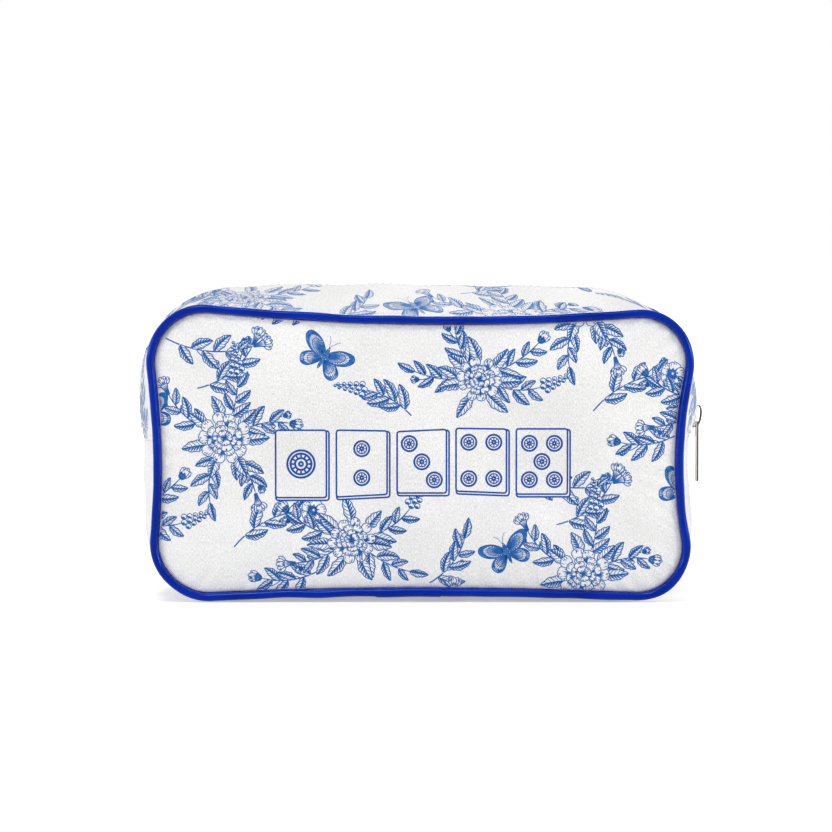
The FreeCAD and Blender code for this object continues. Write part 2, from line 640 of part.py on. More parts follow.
def add_body_sketch(body, name, role, offset, points):
    """Polygon on one of the body's own planes, moved along its normal by an offset."""
    sketch = body.newObject("Sketcher::SketchObject", name)
    plane = next(feature for feature in body.Origin.OriginFeatures if feature.Role == role)
    sketch.AttachmentSupport = [(plane, "")]
    sketch.MapMode = "FlatFace"
    bind(sketch, "AttachmentOffset.Base.z", offset)
    add_polygon(sketch, points)
    DOC.recompute()
    return sketch


def rectangle(low_x, low_y, high_x, high_y):
    return [(low_x, low_y), (high_x, low_y), (high_x, high_y), (low_x, high_y)]


def add_pad(body, name, sketch, length, both_ways=False):
    pad = body.newObject("PartDesign::Pad", name)
    pad.Profile = sketch
    bind(pad, "Length", length)
    pad.Midplane = both_ways
    DOC.recompute()
    return pad


def add_pocket(body, name, sketch, depth, upwards):
    pocket = body.newObject("PartDesign::Pocket", name)
    pocket.Profile = sketch
    pocket.Reversed = upwards
    bind(pocket, "Length", depth)
    DOC.recompute()
    return pocket


def add_rounding(body, name, base, radius, chosen):
    """Fillet the edges of the base whose middle and direction are accepted by chosen."""
    names = []
    for index, edge in enumerate(base.Shape.Edges, start=1):
        middle = edge.valueAt((edge.FirstParameter + edge.LastParameter) / 2)
        along = edge.tangentAt(edge.FirstParameter)
        if edge.Curve.TypeId == "Part::GeomLine" and chosen(middle, along):
            names.append(f"Edge{index}")
    fillet = body.newObject("PartDesign::Fillet", name)
    fillet.Base = (base, names)
    bind(fillet, "Radius", radius)
    DOC.recompute()
    return fillet


def add_slider_body():
    body = add_body("slider_body", BEND_X, BEND_Z, size("slider_drop"))
    half_wide = "Sizes.slider_width / 2"
    half_long = "Sizes.slider_length / 2"
    plate = rectangle(f"-({half_wide})", f"-({half_long})", half_wide, half_long)
    outer = add_body_sketch(body, "outer_plate_sketch", "YZ_Plane", PLATE_OUT_IN, plate)
    add_pad(body, "outer_plate", outer, size("slider_plate"))

    wall_in = f"({half_wide} - Sizes.flange_wall)"
    wall_long = f"({half_long} - Sizes.slider_corner - Sizes.slider_gap)"
    wall_low = f"{PLATE_OUT_IN} - Sizes.flange_depth"
    for side, start, end in (("front", f"-({half_wide})", f"-{wall_in}"), ("back", wall_in, half_wide)):
        walls = add_body_sketch(body, f"{side}_wall_sketch", "YZ_Plane", wall_low,
                                rectangle(start, f"-{wall_long}", end, wall_long))
        add_pad(body, f"{side}_wall", walls, size("flange_depth"))

    neck_low = "-Sizes.neck_offset"
    neck_high = "Sizes.neck_length - Sizes.neck_offset"
    neck = add_body_sketch(body, "neck_sketch", "YZ_Plane", PLATE_IN_OUT,
                           rectangle("-Sizes.neck_half", neck_low, "Sizes.neck_half", neck_high))
    add_pad(body, "neck", neck, f"{PLATE_OUT_IN} - {PLATE_IN_OUT}")
    inner = add_body_sketch(body, "inner_plate_sketch", "YZ_Plane", PLATE_IN_IN, plate)
    joined = add_pad(body, "inner_plate", inner, size("slider_plate"))

    width = value(half_wide)
    length = value(half_long)
    corners = add_rounding(
        body, "plate_corners", joined, size("slider_corner"),
        lambda middle, along: abs(along.x) > PARALLEL and abs(abs(middle.y) - width) < NEAR
        and abs(abs(middle.z) - length) < NEAR)
    top = value(PLATE_OUT_OUT)
    add_rounding(body, "broken_edges", corners, size("edge_round"),
                 lambda middle, along: abs(middle.x - top) < NEAR)
    return body


def add_slider_bridge():
    """Staple over the slider that holds the pull tab."""
    body = add_body("slider_bridge", BEND_X, BEND_Z, size("slider_drop"))
    foot = PLATE_OUT_OUT
    under = f"({foot} + Sizes.bridge_clear)"
    over = f"({under} + Sizes.bridge_bar)"
    half = "(Sizes.bridge_span / 2)"
    inside = f"({half} - Sizes.bridge_bar)"
    staple = [(foot, f"-{half}"), (over, f"-{half}"), (over, half), (foot, half),
              (foot, inside), (under, inside), (under, f"-{inside}"), (foot, f"-{inside}")]
    sketch = add_body_sketch(body, "staple_sketch", "XZ_Plane", "0", staple)
    bar = add_pad(body, "staple", sketch, size("bridge_width"), both_ways=True)
    top = value(over)
    length = value(half)
    rounded = add_rounding(
        body, "shoulders", bar, size("bridge_round"),
        lambda middle, along: abs(along.y) > PARALLEL and abs(middle.x - top) < NEAR
        and abs(abs(middle.z) - length) < NEAR)
    add_rounding(body, "broken_edges_bridge", rounded, size("edge_round"),
                 lambda middle, along: abs(middle.x - top) < NEAR and abs(along.z) > PARALLEL)
    return body


def add_pull_tab():
    """Slim metal tab that hangs plumb from the bridge, drawn with its bar at the frame's origin."""
    pivot = f"({PLATE_OUT_OUT} + Sizes.bridge_clear / 2)"
    x = f"({BEND_X} + {pivot} * cos(Sizes.slider_drop) - Sizes.tab_offset * sin(Sizes.slider_drop))"
    z = f"({BEND_Z} - {pivot} * sin(Sizes.slider_drop) - Sizes.tab_offset * cos(Sizes.slider_drop))"
    body = add_body("pull_tab", x, z, "0")
    back = "-(Sizes.tab_thickness / 2)"
    half = "(Sizes.tab_width / 2)"
    head = "(Sizes.tab_bar / 2)"
    foot = f"({head} - Sizes.tab_length)"
    outline = add_body_sketch(body, "tab_sketch", "YZ_Plane", back,
                              rectangle(f"-{half}", foot, half, head))
    plate = add_pad(body, "tab_plate", outline, size("tab_thickness"))

    window_low = f"(-{head} - Sizes.tab_window_length)"
    window = add_body_sketch(body, "window_sketch", "YZ_Plane", back,
                             rectangle("-Sizes.tab_window_half", window_low,
                                       "Sizes.tab_window_half", f"-{head}"))
    before = plate.Shape.Volume
    cut = add_pocket(body, "window", window, size("tab_thickness"), True)
    assert cut.Shape.Volume < before, "the window has to go through the tab"

    slot_low = f"({foot} + Sizes.tab_width / 2)"
    slot = add_body_sketch(body, "slot_sketch", "YZ_Plane", "Sizes.tab_thickness / 2",
                           rectangle("-Sizes.tab_slot_half", slot_low, "Sizes.tab_slot_half",
                                     f"{slot_low} + Sizes.tab_slot_length"))
    before = cut.Shape.Volume
    pressed = add_pocket(body, "pressed_slot", slot, size("tab_slot_depth"), False)
    assert pressed.Shape.Volume < before, "the slot has to be pressed into the tab"

    width = value(half)
    rounded = add_rounding(
        body, "tab_corners", pressed, size("tab_round"),
        lambda middle, along: abs(along.x) > PARALLEL and abs(abs(middle.y) - width) < NEAR)
    face = value("Sizes.tab_thickness / 2")
    add_rounding(
        body, "broken_edges_tab", rounded, size("edge_round"),
        lambda middle, along: abs(abs(middle.x) - face) < NEAR and abs(abs(middle.y) - width) < NEAR)
    return body


def build():
    fill_sheet()
    front_panel = add_front_canvas()
    wadding = add_front_wadding()
    lining = add_front_lining()
    cover, cord, binding = add_piping()
    pieces = [front_panel, wadding, lining, cover, cord, binding]
    pieces += [
        add_mirror("back_panel", front_panel),
        add_mirror("back_wadding", wadding),
        add_mirror("back_lining", lining),
        add_mirror("piping_back", cover),
        add_mirror("piping_cord_back", cord),
        add_mirror("seam_binding_back", binding),
    ]
    pieces += add_gusset_and_linings()
    pieces += add_zip()
    pieces += [add_slider_body(), add_slider_bridge(), add_pull_tab()]
    DOC.recompute()
    return pieces


def check(pieces):
    for thing in DOC.Objects:
        if "Invalid" in thing.State or "Error" in thing.State:
            raise RuntimeError(f"{thing.Name} failed: {thing.State}")
    for piece in pieces:
        shape = piece.Shape
        if shape.isNull() or not shape.isValid() or not shape.Solids:
            raise RuntimeError(f"{piece.Label} has no valid solid")


def export(pieces):
    os.makedirs("parts", exist_ok=True)
    for piece in pieces:
        piece.Shape.exportStep(os.path.join("parts", f"{piece.Label}.step"))
        solids = piece.Shape.Solids
        print(piece.Label, len(solids), "solids", round(piece.Shape.Volume, 2), "mm3")


PIECES = build()
check(PIECES)
export(PIECES)
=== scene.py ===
import math

import bmesh
import bpy
import numpy as np
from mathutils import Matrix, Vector
from mathutils.bvhtree import BVHTree


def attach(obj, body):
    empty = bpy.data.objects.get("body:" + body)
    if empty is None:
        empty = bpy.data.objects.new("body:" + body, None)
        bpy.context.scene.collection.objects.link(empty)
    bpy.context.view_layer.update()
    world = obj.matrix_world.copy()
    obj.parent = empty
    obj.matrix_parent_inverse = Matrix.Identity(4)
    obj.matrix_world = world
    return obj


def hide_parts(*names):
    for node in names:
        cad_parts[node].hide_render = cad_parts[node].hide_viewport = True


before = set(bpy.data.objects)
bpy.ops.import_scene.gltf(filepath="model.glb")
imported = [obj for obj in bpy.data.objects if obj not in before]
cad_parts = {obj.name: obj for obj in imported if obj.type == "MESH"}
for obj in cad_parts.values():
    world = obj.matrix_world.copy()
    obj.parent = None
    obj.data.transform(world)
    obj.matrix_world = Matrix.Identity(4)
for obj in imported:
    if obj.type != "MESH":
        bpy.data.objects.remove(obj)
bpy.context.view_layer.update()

# Lengths are in millimetres until a mesh is made. X runs to the right, the front faces -Y, Z is up.
MM = 0.001
# Sizes of the solids, as part.py has them or works them out.
HALF_DEPTH = 40.0
HALF_TOP = 118.9
HALF_LOW = 117.4
TOP_LEFT = 129.1
TOP_RIGHT = 126.9
SEAM_CORNER_LEFT, SEAM_CORNER_RIGHT = 24, 22
CREST_CORNER_LEFT, CREST_CORNER_RIGHT, CREST_CORNER_LOW = 45.5, 49.5, 35.5
# How far the sides of an outline are drawn in: right, top, left and bottom.
SEAM_DRAWS = (3.85, 4.1, 2.15, 2.05)
CREST_DRAWS = (2.1, -0.9, 0.4, -0.3)
BULGE_LEFT, BULGE_LEFT_LOW = 6.5, 6.8
BULGE_RIGHT, BULGE_RIGHT_LOW = 3.6, 5.1
BULGE_TOP_LEFT, BULGE_TOP_RIGHT, BULGE_FLOOR = 8.8, 10.1, 2.8
PIPING_RADIUS, VINYL_THICKNESS = 1.8, 0.55
FLANGE_REACH, FLANGE_THICKNESS = 4.4, 0.4
BINDING_THICKNESS = 1.6
SKIN_SETBACK = 1.95
CANVAS_THICKNESS, PADDING_THICKNESS, LINING_THICKNESS = 0.9, 2.4, 0.5
CANVAS_OUT, CANVAS_IN = 0.5, 1.4
PADDING_OUT, PADDING_IN = 1.6, 4.0
LINING_OUT, LINING_IN = 4.2, 4.7
TAPE_OUT, TAPE_IN = 1.55, 2.15
PADDING_SETBACK, LINING_SETBACK = 5.7, 6.8
CROWN_HEIGHT, CROWN_REACH = 3.0, 40.0
GUSSET_JOIN = 70.01
SLOT_HALF, LINING_SLOT_HALF, TAPE_HALF = 4.8, 6.2, 15.0
LAYER_GAP = 0.2
CHAIN_GAP_HALF = 0.35
COIL_END_LEFT, COIL_END_RIGHT = 77.0, 74.2
LAP_START, LAP_END = -20.0, 10.0

CORNER_SAMPLES, SIDE_SAMPLES, TOP_SAMPLES = 30, 56, 130
RING = 4 * CORNER_SAMPLES + 2 * SIDE_SAMPLES + 2 * TOP_SAMPLES
# Ring places of the right side, where the outline rises, and of the left side, where it falls.
RISING, FALLING = (90, 156), (336, 402)
SIDES = (("front", -1), ("back", 1))


# Outlines and layers of the bag, as in part.py.

def side_arc(first, second, draw):
    """Centre, radius and concavity of the arc that touches two corner circles."""
    (x1, z1, r1), (x2, z2, r2) = first, second
    spacing = math.hypot(x2 - x1, z2 - z1)
    concave = draw > 0
    mean = (r1 + r2) / 2
    radius = spacing ** 2 / (8 * abs(draw)) + (-mean if concave else mean)
    reach1 = radius + r1 if concave else radius - r1
    reach2 = radius + r2 if concave else radius - r2
    along = (reach1 ** 2 - reach2 ** 2 + spacing ** 2) / (2 * spacing)
    away = math.sqrt(reach1 ** 2 - along ** 2) * (1 if concave else -1)
    ux, uz = (x2 - x1) / spacing, (z2 - z1) / spacing
    return x1 + ux * along + uz * away, z1 + uz * along - ux * away, radius, concave


def closed_outline(corners, draws):
    """Points and outward normals of an outline of eight arcs, anticlockwise seen from the front,
    from the middle of the bottom. Corners run from the bottom right, draws from the right side."""
    sides = [side_arc(corners[i], corners[(i + 1) % 4], draws[i]) for i in range(4)]

    def touch(corner, side):
        angle = math.atan2(side[1] - corner[1], side[0] - corner[0])
        return angle if side[3] else angle + math.pi

    points, normals = [], []

    def arc(x, z, radius, start, end, count, outward=1):
        angles = start + (end - start) * (np.arange(count) + 0.5) / count
        ring = np.stack([np.cos(angles), np.sin(angles)], 1)
        points.append(ring * radius + (x, z))
        normals.append(ring * outward)

    for i, (x, z, radius) in enumerate(corners):
        start, end = touch((x, z), sides[i - 1]), touch((x, z), sides[i])
        end = start + (end - start) % (2 * math.pi)
        arc(x, z, radius, start, end, CORNER_SAMPLES)
        side, after = sides[i], corners[(i + 1) % 4]
        ends = []
        for cx, cz, r in (corners[i], after):
            angle = touch((cx, cz), side)
            z_away, x_away = cz + r * math.sin(angle) - side[1], cx + r * math.cos(angle) - side[0]
            ends.append(math.atan2(z_away, x_away))
        turn = (ends[1] - ends[0] + math.pi) % (2 * math.pi) - math.pi
        count = SIDE_SAMPLES if i % 2 == 0 else TOP_SAMPLES
        arc(side[0], side[1], side[2], ends[0], ends[0] + turn, count, -1 if side[3] else 1)
    half = TOP_SAMPLES // 2
    return np.roll(np.vstack(points), half, 0), np.roll(np.vstack(normals), half, 0)


def gusset_outline(share, inset):
    """Outline of the gusset at a share of its bulge past the seam."""

    def mix(seam, crest):
        return seam * (1 - share) + crest * share

    left_top, left_low = (-(HALF_TOP + BULGE_LEFT * share - inset),
                          -(HALF_LOW + BULGE_LEFT_LOW * share - inset))
    right_top, right_low = (HALF_TOP + BULGE_RIGHT * share - inset,
                            HALF_LOW + BULGE_RIGHT_LOW * share - inset)
    top_left = TOP_LEFT + BULGE_TOP_LEFT * share - inset
    top_right = TOP_RIGHT + BULGE_TOP_RIGHT * share - inset
    bottom = PIPING_RADIUS - BULGE_FLOOR * share + inset
    r_low_right = mix(SEAM_CORNER_RIGHT, CREST_CORNER_LOW) - inset
    r_top_right = mix(SEAM_CORNER_RIGHT, CREST_CORNER_RIGHT) - inset
    r_top_left = mix(SEAM_CORNER_LEFT, CREST_CORNER_LEFT) - inset
    r_low_left = mix(SEAM_CORNER_LEFT, CREST_CORNER_LOW) - inset
    corners = (
        (right_low - r_low_right, bottom + r_low_right, r_low_right),
        (right_top - r_top_right, top_right - r_top_right, r_top_right),
        (left_top + r_top_left, top_left - r_top_left, r_top_left),
        (left_low + r_low_left, bottom + r_low_left, r_low_left),
    )
    return closed_outline(corners, [mix(seam, crest) for seam, crest in zip(SEAM_DRAWS, CREST_DRAWS)])


def panel_outline(inset, ease=0, corner_inset=SKIN_SETBACK):
    """Outline of a panel at an inset from the seam, with its corners and sides eased."""
    keep = 1 - ease
    left, right = (SEAM_CORNER_LEFT - corner_inset) * keep, (SEAM_CORNER_RIGHT - corner_inset) * keep
    corners = (
        (HALF_LOW - inset - right, PIPING_RADIUS + inset + right, right),
        (HALF_TOP - inset - right, TOP_RIGHT - inset - right, right),
        (-(HALF_TOP - inset) + left, TOP_LEFT - inset - left, left),
        (-(HALF_LOW - inset) + left, PIPING_RADIUS + inset + left, left),
    )
    return closed_outline(corners, [draw * keep for draw in SEAM_DRAWS])


def waves(seed, count, low, high):
    """Smooth field of random plane waves with wavelengths from low to high, of about unit height."""
    rng = np.random.default_rng(seed)
    angles = rng.uniform(0, 2 * math.pi, count)
    lengths = rng.uniform(low, high, count)
    phases = rng.uniform(0, 2 * math.pi, count)
    kx, ky = np.cos(angles) * 2 * math.pi / lengths, np.sin(angles) * 2 * math.pi / lengths

    def field(x, y):
        total = sum(np.sin(a * x + b * y + c) for a, b, c in zip(kx, ky, phases))
        return total * math.sqrt(2 / count)

    return field


def ring_waves(seed, low, high, count=10):
    """Smooth periodic noise along a closed ring, between two numbers of waves round it."""
    rng = np.random.default_rng(seed)
    turns = np.linspace(0, 2 * math.pi, RING, endpoint=False)
    total = sum(np.sin(int(rng.integers(low, high)) * turns + rng.uniform(0, 2 * math.pi))
                for _ in range(count))
    return total * math.sqrt(2 / count)


# Meshes.

def make_piece(name, points, faces, material, body="bag", slot=None, replaces=(), flat=None):
    """Mesh object from points in millimetres, riding on a body."""
    mesh = bpy.data.meshes.new(name)
    mesh.from_pydata((np.asarray(points, float) * MM).tolist(), [], [tuple(map(int, f)) for f in faces])
    if flat is not None:
        loops = np.zeros(len(mesh.loops), dtype=np.int32)
        mesh.loops.foreach_get("vertex_index", loops)
        flat = np.asarray(flat, float)
        layer = mesh.uv_layers.new(name="Flat")
        layer.data.foreach_set("uv", flat[loops].astype(np.float32).ravel())
    mesh.polygons.foreach_set("use_smooth", [True] * len(mesh.polygons))
    mesh.validate()
    mesh.update()
    piece = bpy.data.objects.new(name, mesh)
    bpy.context.scene.collection.objects.link(piece)
    mesh.materials.append(material)
    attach(piece, body)
    if replaces:
        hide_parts(*replaces)
    return piece


def grid_faces(rows, columns, offset=0, flip=False, wrap=False):
    """Quads of a grid of points; the columns may close into a ring."""
    r, c = np.meshgrid(np.arange(rows - 1), np.arange(columns if wrap else columns - 1), indexing="ij")
    after = (c + 1) % columns
    here, below = r * columns, (r + 1) * columns
    quads = np.stack([here + c, here + after, below + after, below + c], -1)
    quads = quads.reshape(-1, 4) + offset
    return quads[:, ::-1] if flip else quads


def even_angles(count):
    return np.arange(count) * 2 * math.pi / count


def rod_faces(stations, around, offset=0):
    """Quads of a rod whose rings follow one another, with a cap at each end."""
    last = (stations - 1) * around
    return list(grid_faces(stations, around, offset, wrap=True)) + [
        np.arange(around)[::-1] + offset, np.arange(around) + offset + last]


def weld(points, faces, flat, distance=2e-4):
    """Merge points that lie together, which closes the edges of a shell."""
    keys = np.round(points / distance).astype(np.int64)
    _, first, back = np.unique(keys, axis=0, return_index=True, return_inverse=True)
    back = back.ravel()
    kept = []
    for face in faces:
        corners = list(dict.fromkeys(back[list(face)].tolist()))
        if len(corners) > 2:
            kept.append(corners)
    return points[first], kept, flat[first]


def edge_distance(grid, axis):
    """Distance along a grid's lines from their first point, a row or column at a time."""
    return np.cumsum(np.linalg.norm(np.diff(grid, axis=axis), axis=2), axis=axis)


def squashed(wave, power):
    """A wave from -1 to 1 with its tops made flatter."""
    return np.sign(wave) * np.abs(wave) ** power


def clamped(share):
    return min(1.0, max(0.0, share))


def edge_round(distance, radius):
    """Share of a layer's thickness at a distance from its rounded edge."""
    return np.sqrt(np.clip(1 - (1 - np.minimum(distance, radius) / radius) ** 2, 0, 1))


def spread(start, end, step, fine=(0.08, 0.22, 0.45, 0.9)):
    """Places from start to end, a step apart and closer together near both ends."""
    count = max(2, int(round((end - start - 2 * fine[-1]) / step)) + 1)
    inner = np.linspace(start + fine[-1], end - fine[-1], count)
    return np.r_[start, start + np.array(fine[:-1]), inner, end - np.array(fine[:-1][::-1]), end]


# The gusset: all its layers are cut from rings round the bag.

EDGE = HALF_DEPTH - SKIN_SETBACK
EDGE_SHARE = 1 - (EDGE / HALF_DEPTH) ** 2
CREST, CREST_NORMAL = gusset_outline(1, 0)
CREST_RUN = np.r_[0, np.cumsum(np.linalg.norm(np.diff(CREST, axis=0, append=CREST[:1]), axis=1))]
GIRTH = CREST_RUN[-1]
puckers = ring_waves(5, 55, 95)
# The cloth lies flat under the slider's path, beyond this place towards the top right corner.
FLAT_FROM, FLAT_BLEND, FAR = (60, 62), 25, 99
short_of_it = np.clip(np.array(FLAT_FROM) - CREST, 0, FAR)
slow = ring_waves(9, 6, 22) * np.clip(np.hypot(*short_of_it.T) / FLAT_BLEND, 0, 1)
PUCKER_HEIGHT, SWELL_HEIGHT, SWELL_AT_ZIP = 0.30, 0.35, 0.342


def eased(share):
    share = np.clip(share, 0, 1)
    return share * share * (3 - 2 * share)


def welt(y):
    """How far the cloth is rolled up beside the zip; highest at the slider, none at the cross seams."""
    crest, reach_in, reach_out = 7.4, 3.4, 7.5
    away = abs(y) - crest
    roll = math.exp(-(away / (reach_in if away < 0 else reach_out)) ** 2)
    rise = CREST[:, 1] - GUSSET_JOIN
    slider_height, slider_reach = 80.5, 9
    at_slider = np.exp(-((CREST[:, 1] - slider_height) / slider_reach) ** 2) * (CREST[:, 0] > 0)
    return roll * (1.3 * eased(rise / 20) + 1.35 * at_slider * eased(rise / 5))


def slit_closed():
    """Share, round the crest, by which the zip's two halves meet: none on the slider's path, where
    the slider's neck needs the slit."""
    return np.clip((70 - CREST[:, 0]) / 5, 0, 1)


def gusset_rows(inset, ys, rolled=False, meeting=False):
    """Rings of a layer at distances from the bag's middle, as an array of row, column and X, Y, Z."""
    edge, crest = gusset_outline(EDGE_SHARE, inset)[0], gusset_outline(1, inset)[0]
    rows = []
    for y in ys:
        ring = edge + (crest - edge) * (1 - (y / EDGE) ** 2)
        near = max(0.0, EDGE - abs(y))
        gather = PUCKER_HEIGHT * puckers * math.exp(-near / 9) * (1 - math.exp(-near / 2))
        swell = SWELL_HEIGHT * slow * (1 - math.exp(-near / 10))
        if rolled:
            swell = swell + welt(y)
        ring = ring + CREST_NORMAL * (gather + swell)[:, None]
        across = np.full(RING, float(y))
        if meeting:
            reach = (CHAIN_GAP_HALF - 0.02) * max(0.0, 1 - (abs(y) - CHAIN_GAP_HALF) / 1.5)
            across -= math.copysign(reach, y) * slit_closed()
        rows.append(np.stack([ring[:, 0], across, ring[:, 1]], 1))
    return np.array(rows)


def between_joins(rows, runs, upper):
    """Columns of the rings at arc lengths of the crest, cut off at the height of the cross seams.
    Runs are shares from one join to the other: over the top from right to left, or under the bag."""
    cut, stations = [], []
    index = np.arange(-RING, 2 * RING)
    rising = slice(RING + RISING[0], RING + RISING[1])
    falling = slice(RING + FALLING[0], RING + FALLING[1])
    for ring in rows:
        long = np.vstack([ring, ring, ring])
        at_right = np.interp(GUSSET_JOIN, long[rising, 2], index[rising])
        at_left = np.interp(-GUSSET_JOIN, -long[falling, 2], index[falling])
        if not upper:
            at_left -= RING
        first, last = (at_right, at_left) if upper else (at_left, at_right)
        places = first + (last - first) * runs
        cut.append(np.stack([np.interp(places, index, long[:, k]) for k in range(3)], 1))
        stations.append(places)
    return np.array(cut), np.array(stations)


def station_run(places):
    """Arc length along the crest of a fractional ring index, from the top middle, positive rightwards."""
    run = np.interp(places % RING, np.arange(RING + 1), CREST_RUN) + np.floor(places / RING) * GIRTH
    return GIRTH / 2 - run


def shell_piece(name, outer, inner, flat, material, radius=0.45, **settings):
    """Closed shell between two grids, with its four edges rounded."""
    m, n = outer.shape[:2]
    down = np.concatenate([np.zeros((1, n)), edge_distance(outer, 0)], 0)
    over = np.concatenate([np.zeros((m, 1)), edge_distance(outer, 1)], 1)
    near = np.minimum(np.minimum(down, down[-1:] - down), np.minimum(over, over[:, -1:] - over))
    bulge = edge_round(near, radius)[..., None]
    middle, half = (outer + inner) / 2, (outer - inner) / 2
    grids = [middle + half * bulge, middle - half * bulge]
    points = np.vstack([g.reshape(-1, 3) for g in grids])
    faces = np.vstack([grid_faces(m, n), grid_faces(m, n, m * n, flip=True)])
    points, faces, flat = weld(points, faces, np.vstack([flat.reshape(-1, 2)] * 2))
    piece = make_piece(name, points, faces, material, flat=flat, **settings)
    return piece, grids[0]


def gusset_layer(name, ys, insets, upper, step, material, **settings):
    """One layer of a zip strip or of the lower gusset; returns its outer grid and its flat places."""
    # The zip strips take a little over half of the way round the bag.
    width = GIRTH * (0.58 if upper else 0.42)
    runs = spread(0, width, step) / width
    grids = []
    for inset in insets:
        rolled = upper and inset == CANVAS_OUT
        meeting = name.startswith("zip_tape")
        grid, stations = between_joins(gusset_rows(inset, ys, rolled, meeting), runs, upper)
        # The bag stands on a flat base, with the inner face of a layer above the outer one.
        base = 0.0 if inset == insets[0] else 0.35
        grid[..., 2] = np.maximum(grid[..., 2], base)
        grids.append(grid)
    run = station_run(stations)
    if not upper:
        run = np.where(run > 0, run - GIRTH / 2, run + GIRTH / 2)
    flat = np.stack([run, np.repeat(np.asarray(ys)[:, None], len(runs), 1)], -1)
    piece, outer = shell_piece(name, grids[0], grids[1], flat, material, **settings)
    return outer, flat


# Materials.

class Nodes:
    """Short hand for building a material's nodes."""

    def __init__(self, name):
        self.material = bpy.data.materials.new(name)
        self.material.use_nodes = True
        self.tree = self.material.node_tree
        self.shader = self.tree.nodes["Principled BSDF"]

    def add(self, kind, inputs=(), **settings):
        node = self.tree.nodes.new(kind)
        for key, setting in settings.items():
            setattr(node, key, setting)
        for key, source in dict(inputs).items():
            self.feed(source, node.inputs[key])
        return node

    def feed(self, source, socket):
        if isinstance(source, bpy.types.NodeSocket):
            self.tree.links.new(source, socket)
        else:
            socket.default_value = source

    def set(self, **values):
        for key, source in values.items():
            self.feed(source, self.shader.inputs[key.replace("_", " ")])

    def noise(self, vector, scale, detail=2.0):
        inputs = {"Vector": vector, "Scale": scale, "Detail": detail}
        return self.add("ShaderNodeTexNoise", inputs).outputs["Fac"]

    def stretch(self, vector, scale):
        return self.add("ShaderNodeMapping", {"Vector": vector, "Scale": scale}).outputs[0]

    def math(self, operation, a, b=0.0):
        return self.add("ShaderNodeMath", {0: a, 1: b}, operation=operation).outputs[0]

    def mix(self, share, first, second):
        node = self.tree.nodes.new("ShaderNodeMix")
        node.data_type = "RGBA"
        for socket, source in ((0, share), (6, first), (7, second)):
            self.feed(source, node.inputs[socket])
        return node.outputs[2]

    def ramp(self, value, low, high):
        limits = {"Value": value, "From Min": low, "From Max": high}
        return self.add("ShaderNodeMapRange", limits).outputs[0]

    def bump(self, height, distance):
        node = self.add("ShaderNodeBump", {"Height": height, "Distance": distance, "Strength": 1.0})
        self.set(Normal=node.outputs[0])


def srgb(red, green, blue):
    """Scene colour of a screen colour given from 0 to 255."""
    values = [v / 255 for v in (red, green, blue)]
    return tuple(v / 12.92 if v <= 0.04045 else ((v + 0.055) / 1.055) ** 2.4 for v in values) + (1.0,)


def weave(nodes, pitch):
    """Slubby plain weave in flat millimetres: height of the threads, and thick and thin places."""
    flat = nodes.add("ShaderNodeUVMap", uv_map="Flat").outputs[0]
    apart = nodes.add("ShaderNodeSeparateXYZ", {0: flat})
    warp = nodes.noise(nodes.stretch(flat, (1.3 / pitch, 0.8, 1)), 1.0, 2.0)
    weft = nodes.noise(nodes.stretch(flat, (0.8, 1.3 / pitch, 1)), 1.0, 2.0)
    slub = nodes.noise(nodes.stretch(flat, (0.6 / pitch, 0.10, 1)), 1.0, 1.0)
    warp = nodes.math("ADD", nodes.math("MULTIPLY", warp, 0.85), nodes.math("MULTIPLY", slub, 0.15))
    lift = nodes.math("MULTIPLY",
                      nodes.math("SINE", nodes.math("MULTIPLY", apart.outputs[0], math.pi / pitch)),
                      nodes.math("SINE", nodes.math("MULTIPLY", apart.outputs[1], math.pi / pitch)))
    threads = nodes.math("ADD", nodes.math("MULTIPLY", warp, 0.80), nodes.math("MULTIPLY", weft, 0.30))
    height = nodes.math("ADD", threads, nodes.math("MULTIPLY", lift, 0.16))
    return flat, threads, height


# Millimetres from thread to thread, and metres of relief.
THREAD_PITCH, THREAD_RELIEF = 0.55, 0.00022


def fabric_material(name, light, dark, pitch=THREAD_PITCH, low=0.35, high=0.80):
    """Woven cloth, darker between the threads and in broad clouds."""
    nodes = Nodes(name)
    flat, threads, height = weave(nodes, pitch)
    cloud = nodes.noise(nodes.stretch(flat, (0.02, 0.02, 1)), 1.0, 2.0)
    tone = nodes.math("ADD", nodes.math("MULTIPLY", threads, 0.75), nodes.math("MULTIPLY", cloud, 0.25))
    nodes.set(Base_Color=nodes.mix(nodes.ramp(tone, low, high), dark, light), Roughness=0.9,
              Specular_IOR_Level=0.2, Sheen_Weight=0.15)
    nodes.bump(height, THREAD_RELIEF)
    return nodes.material


def ink_material(name, full, worn):
    """Print that has sunk into the weave: paler on the crowns of the thick threads."""
    nodes = Nodes(name)
    flat, threads, height = weave(nodes, THREAD_PITCH)
    patch = nodes.noise(nodes.stretch(flat, (0.35, 0.35, 1)), 1.0, 3.0)
    share = nodes.math("ADD", nodes.math("MULTIPLY", threads, 0.6), nodes.math("MULTIPLY", patch, 0.5))
    nodes.set(Base_Color=nodes.mix(nodes.ramp(share, 0.50, 0.85), full, worn), Roughness=0.85,
              Specular_IOR_Level=0.2)
    nodes.bump(height, THREAD_RELIEF)
    return nodes.material


def object_noise(nodes, scale, detail=2.0):
    place = nodes.add("ShaderNodeTexCoord").outputs["Object"]
    return nodes.noise(place, scale, detail)


